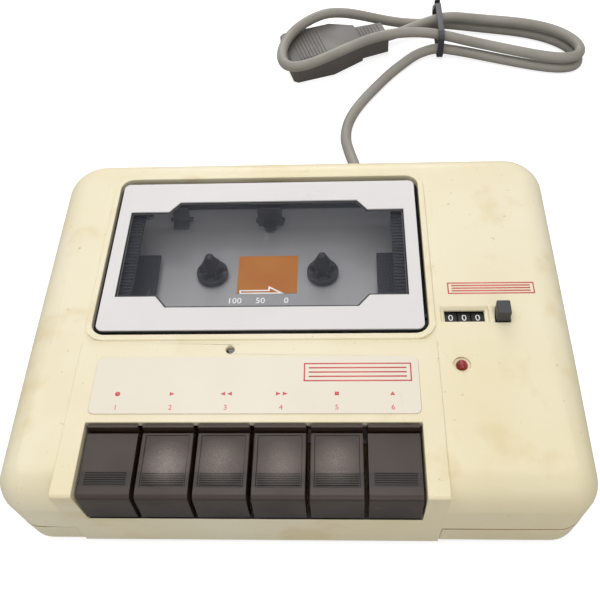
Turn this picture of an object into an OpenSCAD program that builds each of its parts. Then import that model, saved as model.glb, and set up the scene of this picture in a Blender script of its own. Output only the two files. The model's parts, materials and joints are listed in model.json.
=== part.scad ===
// Cassette recorder for a home computer: a cream case with a rounded front,
// six piano keys, a lid with a smoked window, a three-digit counter and a short
// grey lead, folded into a tied hank, that ends in an edge-connector plug.
// Millimetres. +X is right, +Y is back, +Z is up; z = 0 is the table under the feet.

/* [Case] */
// Overall width of the case
case_w = 189; // [184:1:208]
// Overall depth of the case
case_d = 148; // [146:1:160]
// Height of the flat top above the table
case_h = 47; // [46:0.5:54]
// Height of the rubber feet
foot_h = 3; // [2:0.5:4]
// Height of the bottom tray up to the parting line
tray_h = 14; // [13:0.5:15]
// Wall of both shells
wall = 2.5; // [2:0.1:2.8]
// Plan radius of the rear corners
corner_r = 15; // [14.5:0.5:18]
// Plan radius of the front corners
front_corner_r = 10; // [8:0.5:14]
// Rounding of the top edges at the back and the sides
edge_r = 10; // [7:0.5:12]
// Rounding of the top edge at the front
front_r = 14; // [11:0.5:14.5]
// Fall of the top from the crease to the front rounding
front_drop = 0.9; // [0.5:0.1:2]
// Distance from the cassette well to the back of the case
rear_margin = 14.15; // [13:0.05:16]
// Sideways place of the lid and the keys, from the middle of the case
deck_x = -12.9; // [-15:0.1:-11.5]

/* [Lid] */
// Width of the lid
lid_w = 113; // [112:0.5:114]
// Depth of the lid
lid_d = 70.3; // [69:0.1:72]
// Gap at each side of the lid
lid_side_gap = 1.5; // [1:0.1:2]
// Gap in front of the lid
lid_front_gap = 1.7; // [1.4:0.1:2.2]
// Gap behind the lid
lid_rear_gap = 2.8; // [1.5:0.1:3.5]
// Thickness of the smoked lid plate
lid_t = 2; // [1.5:0.1:2.4]
// Thickness of the white facing on the lid
panel_t = 0.6; // [0.4:0.1:1]
// Width of the window in the facing
window_w = 103.8; // [90:0.2:104]
// Depth of the window in the facing
window_d = 40.9; // [36:0.1:42]
// Width of the raised rim round the lid
rim_w = 2.2; // [1.6:0.1:3]
// Height of the rim above the flat top
rim_h = 1; // [0.5:0.1:1.5]
// Depth of the cassette well under the flat top
well_depth = 17; // [16:0.5:19]

/* [Keys] */
// Distance from key to key
key_pitch = 17.8; // [17:0.1:18]
// Gap between neighbouring keys
key_gap = 1.4; // [1:0.1:2]
// Depth of the key row
key_row_d = 25.65; // [24:0.05:27]
// Radius of the shaft that the keys turn on
key_shaft_r = 2; // [1.5:0.1:2.4]
// Height of the fin at the back of each key above its face
key_fin_h = 1.9; // [1.2:0.1:3]

/* [Label, counter and lamp] */
// Width of the label plate
label_w = 106.7; // [90:0.1:108]
// Flat strip between the label plate and the crease behind it
label_margin = 5.95; // [5.5:0.05:8]
// Radius of the counter's number wheels
wheel_r = 7; // [6:0.1:7.5]
// Width of one number wheel
wheel_w = 4.2; // [3.6:0.1:4.4]
// Width of the reset button
reset_w = 4.6; // [4:0.1:6]
// Height of the reset button above the flat top
reset_rise = 4.8; // [4:0.2:8]
// Radius of the signal lamp
lamp_r = 1.8; // [1.5:0.1:3]

/* [Tape mechanism] */
// Distance between the two reel spindles
spindle_pitch = 42.5; // [42:0.1:43]
// Radius of a reel spindle's shaft
spindle_r = 1.5; // [1:0.1:2]
// Radius of the flywheel
flywheel_r = 22; // [18:0.5:23]
// Radius of the capstan
capstan_r = 1; // [0.8:0.1:1.5]
// Radius of the motor can
motor_r = 14; // [11:0.5:14.5]
// Radius of the pinch roller
roller_r = 5.5; // [4.5:0.1:6]
// Travel of the head slide
slide_travel = 6; // [4:0.5:6.5]
// Thickness of the steel deck plate
plate_t = 1.5; // [1:0.1:2]

/* [Cord] */
// Diameter of the cord
cord_d = 5.2; // [4.6:0.1:5.4]
// Length of the plug's body
plug_body_l = 40; // [36:0.5:44]
// Width of the plug's body
plug_w = 28; // [22:0.5:30]
// Thickness of the plug
plug_h = 12; // [10:0.5:13]

/* [Hidden] */
$fn = 64;

// Colours of the finishes
cream = [0.90, 0.86, 0.73];
white = [0.93, 0.92, 0.92];
brown = [0.25, 0.21, 0.19];
black = [0.10, 0.10, 0.11];
smoke = [0.45, 0.47, 0.52, 0.45];
steel = [0.72, 0.73, 0.75];
dull_steel = [0.50, 0.52, 0.55];
brass = [0.78, 0.62, 0.30];
cord_grey = [0.55, 0.51, 0.46];
plug_grey = [0.49, 0.47, 0.48];

// Clearances
run_fit = 0.05;
free_gap = 0.3;

// Heights and edges of the case
z_floor = foot_h + wall;
z_part = foot_h + tray_h;
z_top = case_h;
z_under = z_top - wall;
y_front = -case_d / 2;
y_rear = case_d / 2;
x_side = case_w / 2;
crease_r = edge_r + 2;
tray_edge_r = 2;
groove = 0.6;
lap = 0.5;
hull_fn = 40;

// Raised deck with the lid and the keys
well_w = lid_w + 2 * lid_side_gap;
well_d = lid_d + lid_front_gap + lid_rear_gap;
well_r = 5;
deck_w = well_w + 2 * rim_w;
deck_left = deck_x - deck_w / 2;
deck_rise = 0.2;
z_deck = z_top + deck_rise;
well_rear = y_rear - rear_margin;
well_front = well_rear - well_d;
rim_set = 0.85;
crease_y = well_front - rim_w - rim_set;
well_y = (well_front + well_rear) / 2;
z_well = z_top - well_depth;
skirt_t = 1.6;
deck_front = y_front + 0.25;
deck_lean = 4;
deck_edge = 0.8;
apron_foot = deck_front + deck_lean;
front_set = 0.1;
lip_z = z_part + 9;

// Keys: places of the shaft, the row and the faces
key_count = 6;
row_w = key_count * key_pitch;
row_left = deck_x - row_w / 2;
key_w = key_pitch - key_gap;
key_rear = y_front + key_row_d;
shaft_y = key_rear + 5;
shaft_z = z_top - 9;
hub_r = key_shaft_r + 1.6;

// Label plate on the deck
label_t = 0.8;
label_sink = 0.5;
label_gap = 2.9;
label_d = crease_y - key_rear - label_gap - label_margin;
label_y = key_rear + label_gap + label_d / 2;

// Lid parts
lid_front = well_front + lid_front_gap;
lid_y = lid_front + lid_d / 2;
z_lid = z_top + rim_h - panel_t - lid_t;
lid_r = 2.5;
rod_r = 1.2;
ear_t = 1.2;
rod_set = 8.25;
rod_y = lid_front + rod_set;
rod_z = z_lid - rod_r - ear_t;
window_set = 14.55;
window_front = lid_front + window_set;
window_y = window_front + window_d / 2;
step_left = -window_w / 2 + 14.5;
step_right = window_w / 2 - 13.5;
step_slant = 4;
step_d = 4.9;

// Deck plate and spindles
z_plate = z_well - plate_t;
plate_rear = well_rear;
plate_front = key_rear + 2.4;
spindle_set = 40;
spindle_y = well_front + spindle_set;
supply_x = deck_x - spindle_pitch / 2;
takeup_x = deck_x + spindle_pitch / 2;
pin_x = 36.5;
pin_r = 2;
pin_h = 7;
capstan_off = [30, -27];
capstan_x = deck_x + capstan_off[0];
capstan_y = spindle_y + capstan_off[1];
motor_off = [18.5, 17];
motor_x = takeup_x + motor_off[0];
motor_y = spindle_y + motor_off[1];
pulley_r = 7;
pulley_h = 3;
z_pulley = z_plate - 2 - pulley_h;
flywheel_h = 6;
motor_gap = 0.5;
z_flywheel = z_floor + 2.5;
motor_pulley_r = 4;
capstan_pulley_r = 5;
belt_t = 0.8;

// Posts that carry the deck plate, left to right and front to back
post_r = 4;
post_bore_r = 1.3;
post_set = 5;
post_x = [deck_x - well_w / 2 + post_set + 2.4, deck_x + well_w / 2 - post_set - 1.6];
post_y = [plate_front + 8, plate_rear - 3];

// Head slide
slide_t = 1.2;
slide_set = 15;
slide_front = well_front - slide_set;
slide_d = 17;
slide_w = 80;
slide_x = deck_x + 4;
z_slide = z_well + free_gap;
head_front = slide_front + 9;
roller_y = capstan_y - capstan_r - roller_r - free_gap - slide_travel;
stud_r = 1.4;
stud_x = [deck_x - 29, deck_x + 19.4];
stud_y = slide_front + 13;

// Counter, reset button and lamp
counter_x = deck_x + 70.4;
counter_y = crease_y + 11.2;
wheel_pitch = wheel_w + 0.4;
counter_sink = 2.2;
bevel_rear = 1.3;
wheel_z = z_top - counter_sink - wheel_r;
wheel_axle_r = 1;
bracket_t = 1.2;
bracket_in = 3 * wheel_pitch + 0.4;
reset_x = counter_x + 12.6;
reset_y = counter_y - 0.3;
reset_d = 5.5;
reset_lip = 1.2;
reset_travel = 3;
reset_stem_r = 1.5;
lamp_x = counter_x - 2.8;
lamp_y = crease_y - 8.9;
front_y = lean_y(z_part) + front_set;
slope = front_drop / (crease_y - front_y - front_corner_r);
lamp_z = z_top - (crease_y - lamp_y) * slope;

// Circuit board
board_t = 1.6;
board_w = 26;
board_d = 40;
board_x = x_side - 33;
board_y = y_front + wall + 15.5 + board_d / 2;
z_board = z_floor + 6.5;

// Case screws, feet and the cord's way out
boss_x = x_side - 14;
boss_y = [y_front + 38, y_rear - 16];
boss_r = 4;
screw_r = 1.5;
screw_head_r = 3;
foot_r = 6;
foot_x = x_side - 28.5;
foot_y = [y_front + 20, y_rear - 18];
exit_x = 23.5;
exit_z = z_floor + 5.3;
relief_r = 5;
relief_l = 14;

// Profile drawn in the Y-Z plane and carried along X
module along_x(x0, len) translate([x0, 0, 0]) rotate([90, 0, 90]) linear_extrude(len) children();

// Round bar along X
module bar_x(x0, len, y, z, r) translate([x0, y, z]) rotate([0, 90, 0]) cylinder(r = r, h = len);

// Block given by its low corner and its size in each direction
module block(x, y, z, size) translate([x, y, z]) cube(size);

// Rectangle with rounded corners about its centre
module round_rect(w, d, r) {
    square([w - 2 * r, d], center = true);
    square([w, d - 2 * r], center = true);
    for (sx = [-1, 1], sy = [-1, 1])
        translate([sx * (w / 2 - r), sy * (d / 2 - r)]) circle(r);
}

// Flat plate with rounded corners, from height z upwards
module round_plate(x, y, z, w, d, h, r) translate([x, y, z]) linear_extrude(h) round_rect(w, d, r);

// Ring round an axle, from height z upwards
module ring(x, y, z, r, bore, h) translate([x, y, z]) difference() {
    cylinder(r = r, h = h);
    translate([0, 0, -1]) cylinder(r = bore, h = h + 2);
}

// Rounded top edge of a corner of the upper case, with a plan radius
module case_corner(inset, r, top, plan) translate([0, 0, top - r]) rotate_extrude($fn = hull_fn)
    intersection() {
        translate([max(plan - r, 0), 0])
            scale([min(plan, r) - inset, r - inset]) circle(r = 1, $fn = hull_fn);
        square([plan, r]);
    }

// Foot of a corner's upright wall
module corner_foot(inset, low, plan) translate([0, 0, low]) cylinder(r = plan - inset, h = 1, $fn = hull_fn);

// Outside of the upper case, or its inside when inset by the wall
module case_form(inset, low) hull() for (sx = [-1, 1]) {
    translate([sx * (x_side - corner_r), y_rear - corner_r, 0]) {
        corner_foot(inset, low, corner_r);
        case_corner(inset, edge_r, z_top, corner_r);
    }
    translate([sx * (x_side - crease_r), crease_y, z_top - crease_r])
        sphere(r = crease_r - inset, $fn = hull_fn);
    translate([sx * (x_side - front_corner_r), front_set + front_corner_r, 0]) {
        translate([0, lean_y(low), 0]) corner_foot(inset, low, front_corner_r);
        translate([0, lean_y(z_top - front_drop - front_r), 0])
            case_corner(inset, front_r, z_top - front_drop, front_corner_r);
    }
}

// Rounded lower edge of a corner of the tray, with a plan radius
module tray_corner(plan) translate([0, 0, foot_h + tray_edge_r]) rotate_extrude($fn = hull_fn)
    translate([plan - tray_edge_r, 0]) circle(r = tray_edge_r, $fn = hull_fn / 2);

// Outside of the bottom tray, with a rounded lower edge and a leaning front
module tray_form() hull() for (sx = [-1, 1]) {
    translate([sx * (x_side - corner_r), y_rear - corner_r, 0]) {
        corner_foot(0, z_part - 1, corner_r);
        tray_corner(corner_r);
    }
    translate([sx * (x_side - front_corner_r), front_set + front_corner_r, 0]) {
        translate([0, lean_y(z_part), 0]) corner_foot(0, z_part - 1, front_corner_r);
        translate([0, lean_y(foot_h), 0]) tray_corner(front_corner_r);
    }
}

// Flat plate with the plan of the case, set in from its edges
module case_plate(set_in, z, h) {
    front = lean_y(z) + front_set + set_in;
    round_plate(0, (front + y_rear - set_in) / 2, z, case_w - 2 * set_in, y_rear - set_in - front, h,
        corner_r - set_in);
}

// Front edge of the deck at a height, on its leaning front face
function lean_y(z) = deck_front + deck_lean * (z_deck - deck_edge - z) / (z_deck - deck_edge - foot_h);

// Raised deck that carries the lid and the keys, with the apron under the keys
module deck_block() along_x(deck_left, deck_w) polygon([
    [crease_y + 1, z_part], [crease_y + 1, z_deck], [deck_front + deck_edge, z_deck],
    [deck_front, z_deck - deck_edge], [apron_foot, foot_h],
    [apron_foot + wall, foot_h], [lean_y(z_part) + wall, z_part]]);

// Hollow inside the deck: narrow between the key cheeks, wide behind them
module deck_hollow() {
    along_x(row_left, row_w) polygon([
        [crease_y + 1.2, foot_h - 1], [crease_y + 1.2, z_deck - wall],
        [lean_y(z_deck - wall) + wall, z_deck - wall], [apron_foot + wall, foot_h],
        [apron_foot + wall, foot_h - 1]]);
    block(deck_left + wall, key_rear + 0.8, z_part - 1,
        [deck_w - 2 * wall, crease_y + 1.2 - key_rear - 0.8, z_deck - wall - z_part + 1]);
}

// Places of the case screws
module at_bosses() for (sx = [-1, 1], y = boss_y) translate([sx * boss_x, y, 0]) children();

// Wall that closes the sides of the cassette well, open in front for the heads
module well_skirt() difference() {
    round_plate(deck_x, well_y, z_well, well_w + 2 * skirt_t, well_d + 2 * skirt_t, well_depth - 1,
        well_r + skirt_t);
    round_plate(deck_x, well_y, z_well - 1, well_w, well_d, well_depth + 1, well_r);
    block(deck_x - 50, well_front - 5, z_well - 1, [100, 10, well_depth - 3.5]);
}

module top_shell() color(cream) difference() {
    union() {
        difference() {
            case_form(0, z_part);
            case_form(wall, z_part - 2);
        }
        deck_block();
        round_plate(deck_x, well_y, z_under + 0.5, deck_w, well_d + 2 * rim_w, wall - 0.5 + rim_h,
            well_r + rim_w);
        well_skirt();
        intersection() {
            case_form(wall / 2, z_part);
            at_bosses() translate([0, 0, z_part]) cylinder(r = boss_r, h = case_h);
        }
    }
    deck_hollow();
    round_plate(deck_x, well_y, z_under - 1, well_w, well_d, wall + rim_h + 2, well_r);
    block(row_left, y_front - 5, lip_z, [row_w, key_rear - y_front + 5, z_deck]);
    round_plate(deck_x, label_y, z_deck - label_sink, label_w + 0.2, label_d + 0.2, wall, 2.1);
    translate([deck_x - 9.1, crease_y - 2.8, z_under - 1]) cylinder(r = 1.5, h = wall + 3);
    counter_cut();
    block(reset_x - reset_w / 2 - free_gap, reset_y - reset_d / 2 - free_gap, z_under - 1,
        [reset_w + 2 * free_gap, reset_d + 2 * free_gap, wall + 2]);
    translate([lamp_x, lamp_y, lamp_z - 6]) cylinder(r = lamp_r + run_fit, h = 9);
    translate([lamp_x, lamp_y, lamp_z - 0.7]) cylinder(r = lamp_r + 1.1, h = 4);
    for (sx = [-1, 1])
        bar_x(deck_x + sx * (well_w + skirt_t) / 2 - skirt_t, 2 * skirt_t, rod_y, rod_z, rod_r + run_fit);
    at_bosses() translate([0, 0, z_part - 1]) cylinder(r = screw_r + run_fit, h = 14);
}

// Bevelled window over the number wheels, with room under it for the wheels to turn
module counter_cut() {
    win_w = bracket_in - 0.6;
    win_d = 5.7;
    block(counter_x - win_w / 2, counter_y - win_d / 2, z_under - 2, [win_w, win_d, wall + 4]);
    along_x(counter_x - win_w / 2 - 1.3, win_w + 2.6) polygon([
        [counter_y - win_d / 2, z_top - 1.2], [counter_y - win_d / 2 - 0.4, z_top + 1],
        [counter_y + win_d / 2 + bevel_rear, z_top + 1], [counter_y + win_d / 2, z_top - 1.2]]);
    bar_x(counter_x - bracket_in / 2, bracket_in, counter_y, wheel_z, wheel_r + 0.4);
}

module base_tray() color(cream) difference() {
    union() {
        difference() {
            tray_form();
            case_plate(wall, z_floor, tray_h);
        }
        at_bosses() translate([0, 0, z_floor - 1]) cylinder(r = boss_r + 0.8, h = z_part - z_floor + 1);
        for (x = post_x, y = post_y)
            translate([x, y, z_floor - 1]) cylinder(r = post_r, h = z_plate - z_floor + 1);
        at_board_posts() translate([0, 0, z_floor - 1]) cylinder(r = 2.5, h = z_board - z_floor + 1);
    }
    difference() {
        block(-case_w, -case_d, z_part - groove, [2 * case_w, 2 * case_d, groove + 1]);
        case_plate(lap, z_part - groove - 1, 3);
    }
    block(deck_left - free_gap, y_front - 5, 0,
        [deck_w + 2 * free_gap, apron_foot + wall + free_gap - y_front + 5, case_h]);
    at_bosses() {
        cylinder(r = screw_r + run_fit, h = case_h);
        cylinder(r = screw_head_r + 0.2, h = foot_h + 4);
    }
    for (x = post_x, y = post_y) translate([x, y, z_plate - 10]) cylinder(r = post_bore_r, h = 20);
    translate([exit_x, y_rear + 1, exit_z]) rotate([90, 0, 0]) cylinder(r = relief_r + run_fit, h = wall + 2);
}

module rubber_feet() color(black) for (sx = [-1, 1], y = foot_y)
    translate([sx * foot_x, y, 0]) cylinder(r = foot_r, h = foot_h);

module case_screws() color(dull_steel) at_bosses() {
    translate([0, 0, foot_h + 1.4]) difference() {
        cylinder(r = screw_head_r, h = 2.6);
        for (turn = [0, 90]) rotate(turn) block(-2, -0.4, -1, [4, 0.8, 2.2]);
    }
    translate([0, 0, foot_h + 3.9]) cylinder(r = screw_r, h = tray_h);
}

module label_plate() color([0.95, 0.92, 0.86])
    round_plate(deck_x, label_y, z_deck - label_sink, label_w, label_d, label_t, 2);

module signal_lamp() color([0.6, 0.08, 0.08]) translate([lamp_x, lamp_y, 0]) {
    translate([0, 0, lamp_z - 6]) cylinder(r = lamp_r, h = 5.5);
    intersection() {
        translate([0, 0, lamp_z - 0.5]) sphere(lamp_r);
        translate([0, 0, lamp_z - 0.5]) cylinder(r = lamp_r + 1, h = lamp_r + 1);
    }
    translate([0, 0, lamp_z - 8]) cylinder(r = lamp_r + 0.6, h = 2.6);
}

module lid_window() color(smoke) round_plate(deck_x, lid_y, z_lid, lid_w, lid_d, lid_t, lid_r);

// White facing: a wide window with a longer middle that steps out in slanted shoulders
module lid_panel() color(white) difference() {
    round_plate(deck_x, lid_y, z_lid + lid_t, lid_w, lid_d, panel_t, lid_r);
    translate([deck_x, window_y, z_lid]) linear_extrude(lid_t + panel_t + 1) {
        square([window_w, window_d], center = true);
        for (sy = [-1, 1]) polygon([
            [step_left, sy * (window_d / 2 - 0.1)], [step_left + step_slant, sy * (window_d / 2 + step_d)],
            [step_right - step_slant, sy * (window_d / 2 + step_d)],
            [step_right, sy * (window_d / 2 - 0.1)]]);
    }
}

// Hinge bar with two ears, fixed under the front of the lid, and the catch bar at its back
ear_w = 4;
ear_x = [deck_x - lid_w / 2 + 6, deck_x + lid_w / 2 - 6 - ear_w];
module lid_carrier() color(black) {
    difference() {
        for (x = ear_x) {
            bar_x(x, ear_w, rod_y, rod_z, rod_r + ear_t);
            block(x, rod_y - rod_r - ear_t, rod_z, [ear_w, 2 * (rod_r + ear_t), z_lid - rod_z]);
        }
        bar_x(-case_w, 2 * case_w, rod_y, rod_z, rod_r + run_fit);
    }
    block(deck_x - latch_w / 2, lid_front + lid_d - 7, z_lid - 3, [latch_w, 4, 3]);
}

// C-shaped rail under one side of the lid that a cassette slides into
guide_d = 50;
guide_w = 7.5;
guide_t = 2;
guide_rib = [1.5, 0.7, 0.6];
guide_ribs = floor(guide_d / guide_rib[0]);
guide_foot = [12.8, 22, 1.5];
guide_drop = 13.3;
guide_y = rod_y + rod_r + 4.5;
module cassette_guide(side) color(black) {
    out = deck_x + side * (lid_w / 2 - 1.8);
    low = side < 0 ? out : out - guide_w;
    block(low, guide_y, z_lid - guide_t, [guide_w, guide_d, guide_t - guide_rib[2]]);
    block(side < 0 ? out : out - guide_t, guide_y, z_lid - guide_drop, [guide_t, guide_d, guide_drop - 1]);
    block(side < 0 ? out : out - guide_foot[0], guide_y + guide_d / 5, z_lid - guide_drop, guide_foot);
    for (i = [0 : guide_ribs - 1]) block(low, guide_y + i * guide_rib[0] + 0.4, z_lid - 1,
        [guide_w, guide_rib[1], 1]);
}
module cassette_guide_left() cassette_guide(-1);
module cassette_guide_right() cassette_guide(1);

module lid_hinge_rod() color(steel)
    bar_x(deck_x - well_w / 2 - skirt_t, well_w + 2 * skirt_t, rod_y, rod_z, rod_r);

// Coil of the lid's torsion spring, close wound on the rod, with a leg under the lid
coil_turns = 7;
wire_d = 0.8;
spring_leg = 12;
coil_x = ear_x[0] + ear_w + 0.4;
module lid_spring() color(steel) {
    difference() {
        for (i = [0 : coil_turns - 1])
            bar_x(coil_x + i * wire_d, wire_d + 0.01, rod_y, rod_z, rod_r + (i % 2 == 0 ? 1 : wire_d));
        bar_x(coil_x - 1, coil_turns * wire_d + 2, rod_y, rod_z, rod_r + 2 * run_fit);
    }
    block(coil_x + (coil_turns - 1) * wire_d, rod_y, z_lid - wire_d, [wire_d, spring_leg, wire_d]);
}

// Post behind the cassette whose rounded head holds the lid down, on its pivot pin
latch_t = 3;
latch_w = 9.4;
latch_pin = latch_w + 2;
latch_h = 9;
latch_y = window_y + window_d / 2 + 9.7;
tongue_w = 5;
tongue_l = 3.2;
tongue_t = 2;
module lid_latch() color(black) {
    block(deck_x - latch_w / 2, latch_y - latch_t / 2, z_well + free_gap,
        [latch_w, latch_t, latch_h - free_gap]);
    bar_x(deck_x - latch_w / 2, latch_w, latch_y, z_well + latch_h, 1.9);
    bar_x(deck_x - latch_pin / 2, latch_pin, latch_y, z_well + 2, 1);
    translate([deck_x, latch_y, z_well + 1.3]) linear_extrude(tongue_t) {
        translate([-tongue_w / 2, -tongue_l]) square([tongue_w, tongue_l]);
        translate([0, -tongue_l]) circle(tongue_w / 2);
    }
}

// Key section: fin, groove, level face, rounded front edge and the front apron
fin_rear = key_rear - 0.6;
fin_t = 1.2;
fin_front = fin_rear - fin_t;
groove_w = 0.9;
face_rear = fin_front - groove_w;
face_z = z_top - key_fin_h;
face_slope = 0.01;
groove_z = face_z - 3;
key_nose = deck_front + 0.8;
nose_r = 2;
key_under = shaft_z - 3.5;
key_low = key_under - 4.3;
apron_t = 2.2;
rib_rear = key_nose + 8.6;
rib_pitch = 0.75;
rib_count = 6;
rib_front = rib_rear - rib_count * rib_pitch - 0.4;
inset_depth = 0.45;
inset_edge = 1.3;
spring_slot = 6;
function face_at(y) = face_z - face_slope * (face_rear - y);

module key_profile() polygon(concat(
    [[fin_rear, key_under], [fin_rear, z_top], [fin_front, z_top], [fin_front, groove_z],
        [face_rear, groove_z], [face_rear, face_z]],
    [for (a = [90 : 18 : 180])
        [key_nose + nose_r + nose_r * cos(a), face_at(key_nose + nose_r) - nose_r + nose_r * sin(a)]],
    [[key_nose, key_low], [key_nose + apron_t, key_low], [key_nose + apron_t, key_under]]));

// One piano key with its two hub eyes; the middle keys have a bordered, sunken face
module piano_key(i) color(brown) {
    x0 = row_left + i * key_pitch + key_gap / 2;
    sunk = i > 0 && i < key_count - 1 ? inset_depth : 0;
    difference() {
        union() {
            along_x(x0, key_w) key_profile();
            block(x0, fin_rear - 1, key_under + 1, [key_w, shaft_y - fin_rear + 1, 5]);
            bar_x(x0, key_w, shaft_y, shaft_z, hub_r);
        }
        bar_x(x0 - 1, key_w + 2, shaft_y, shaft_z, key_shaft_r + run_fit);
        block(x0 + (key_w - spring_slot) / 2, shaft_y - hub_r - 0.5, shaft_z - hub_r - 1,
            [spring_slot, 2 * hub_r + 2, 2 * hub_r + 2]);
        if (sunk > 0) along_x(x0 + inset_edge, key_w - 2 * inset_edge) polygon([
            [face_rear - 0.8, face_at(face_rear - 0.8) - sunk], [face_rear - 0.8, z_top],
            [rib_front, z_top], [rib_front, face_at(rib_front) - sunk]]);
    }
    for (j = [0 : rib_count - 1]) along_x(x0 + inset_edge + 0.4, key_w - 2 * inset_edge - 0.8) {
        y = rib_rear - j * rib_pitch;
        z = face_at(y) - sunk;
        polygon([[y, z - 0.2], [y - rib_pitch / 2, z + 0.25], [y - rib_pitch, z - 0.3]]);
    }
}
module record_key() piano_key(0);
module play_key() piano_key(1);
module rewind_key() piano_key(2);
module fast_forward_key() piano_key(3);
module stop_key() piano_key(4);
module eject_key() piano_key(5);

lug_t = 1.8;
lug_x = [row_left - 0.6 - lug_t, row_left + row_w + 0.6];
module key_shaft() color(steel)
    bar_x(lug_x[0] - 0.5, lug_x[1] + lug_t - lug_x[0] + 1, shaft_y, shaft_z, key_shaft_r);

// Return springs, one close-wound coil on the shaft in each key's slot
module key_springs() color(steel) for (i = [0 : key_count - 1]) difference() {
    bar_x(row_left + (i + 0.5) * key_pitch - spring_slot / 2 + free_gap, spring_slot - 2 * free_gap,
        shaft_y, shaft_z, key_shaft_r + 1.1);
    bar_x(row_left, row_w, shaft_y, shaft_z, key_shaft_r + run_fit);
}

// Steel deck plate with the ears of the key shaft and two pins that locate a cassette
module deck_plate() color(dull_steel) difference() {
    union() {
        block(deck_left + wall + free_gap, plate_front, z_plate,
            [deck_w - 2 * wall - 2 * free_gap, plate_rear - plate_front, plate_t]);
        block(deck_x - well_w / 2 - skirt_t, well_front - skirt_t, z_plate,
            [well_w + 2 * skirt_t, well_d + 2 * skirt_t, plate_t]);
        for (x = lug_x) block(x, shaft_y - 3.8, z_plate, [lug_t, 7.6, shaft_z + 3.5 - z_plate]);
        for (sx = [-1, 1])
            translate([deck_x + sx * pin_x, capstan_y + 1, z_plate]) cylinder(r = pin_r, h = plate_t + pin_h);
    }
    bar_x(lug_x[0] - 1, row_w + 20, shaft_y, shaft_z, key_shaft_r + run_fit);
    for (x = [supply_x, takeup_x]) translate([x, spindle_y, 0]) cylinder(r = spindle_r + run_fit, h = case_h);
    translate([capstan_x, capstan_y, 0]) cylinder(r = capstan_r + 1.4 + run_fit, h = case_h);
    for (x = post_x, y = post_y)
        translate([x, y, z_plate - 1]) cylinder(r = post_bore_r + 2 * run_fit, h = plate_t + 2);
    for (x = stud_x) translate([x, stud_y, z_plate - 1]) cylinder(r = stud_r + run_fit, h = plate_t + 2);
}

module deck_screws() color(steel) for (x = post_x, y = post_y) translate([x, y, 0]) {
    translate([0, 0, z_well]) cylinder(r = 2.4, h = 1.4);
    translate([0, 0, z_well - 8]) cylinder(r = post_bore_r - run_fit, h = 8.5);
}

sticker = [23, 18.4, 0.2];
module orange_sticker() color([0.80, 0.45, 0.18])
    block(deck_x - sticker[0] / 2, spindle_y + 0.2 - sticker[1] / 2, z_well, sticker);

lever_w = 6;
lever_x = deck_x - 36.3;
lever_t = 3;
lever_pin_r = 0.8;
module record_safety_lever() color(black) {
    block(lever_x - lever_w / 2, latch_y + 0.5, z_well + free_gap, [lever_w, lever_t, 2 * lever_t]);
    block(lever_x - lever_w / 2, latch_y - lever_t, z_well + free_gap, [lever_w, lever_t + 1, lever_t / 2]);
    bar_x(lever_x - lever_w / 2 - 1.5, lever_w + lever_t, latch_y + 2, z_well + free_gap + lever_pin_r,
        lever_pin_r);
}

reel_flange_r = 6;
reel_flange_h = 2;
reel_hub_r = 3.2;
reel_hub_h = 5.5;
reel_nose_h = 2.9;
reel_tip_r = 1.8;
reel_spline_h = 3.4;
spline_w = 1.4;
z_reel = z_well + reel_flange_h;
// Reel spindle: flange, six splines and a pointed nose on a shaft through the plate
module reel_spindle(x) color(black) translate([x, spindle_y, 0]) {
    translate([0, 0, z_well + free_gap]) cylinder(r = reel_flange_r, h = reel_flange_h + 0.2);
    translate([0, 0, z_reel]) cylinder(r = reel_hub_r, h = reel_hub_h);
    translate([0, 0, z_reel + reel_hub_h]) cylinder(r1 = reel_hub_r, r2 = reel_tip_r, h = reel_nose_h);
    translate([0, 0, z_reel + reel_hub_h + reel_nose_h]) sphere(reel_tip_r);
    for (i = [0 : 5]) rotate(i * 60)
        block(reel_hub_r - 0.7, -0.5, z_reel, [spline_w + 0.7, 1, reel_spline_h]);
    translate([0, 0, z_pulley]) cylinder(r = spindle_r, h = z_well + 1 - z_pulley);
}
module supply_spindle() reel_spindle(supply_x);
module takeup_spindle() reel_spindle(takeup_x);
module reel_pulley(x) color(white) ring(x, spindle_y, z_pulley, pulley_r, spindle_r + run_fit, pulley_h);
module supply_pulley() reel_pulley(supply_x);
module takeup_pulley() reel_pulley(takeup_x);

module flywheel() color(brass)
    ring(capstan_x, capstan_y, z_flywheel, flywheel_r, capstan_r + run_fit, flywheel_h);
module capstan_shaft() color(steel) translate([capstan_x, capstan_y, z_floor + free_gap])
    cylinder(r = capstan_r, h = z_well + 11.5 - z_floor - free_gap);
module capstan_bearing() color(brass) {
    ring(capstan_x, capstan_y, z_plate, capstan_r + 1.4, capstan_r + run_fit, plate_t + 0.5);
    ring(capstan_x, capstan_y, z_well, capstan_r + 2.2, capstan_r + run_fit, 0.8);
}
module capstan_pulley() color(white)
    ring(capstan_x, capstan_y, z_pulley, capstan_pulley_r, capstan_r + run_fit, pulley_h);

// Flat belt stretched round two wheels
module belt(a, ra, b, rb, z, h) translate([0, 0, z]) linear_extrude(h) difference() {
    belt_run(a, ra + free_gap + belt_t, b, rb + free_gap + belt_t);
    belt_run(a, ra + free_gap, b, rb + free_gap);
}
module belt_run(a, ra, b, rb) hull() {
    translate(a) circle(r = ra);
    translate(b) circle(r = rb);
}
module takeup_belt() color(black)
    belt([capstan_x, capstan_y], capstan_pulley_r, [takeup_x, spindle_y], pulley_r,
        z_pulley + 0.5, pulley_h - 1);
module drive_belt() color(black)
    belt([capstan_x, capstan_y], flywheel_r, [motor_x, motor_y], motor_pulley_r,
        z_flywheel + 1.5, flywheel_h - 3);

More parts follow.
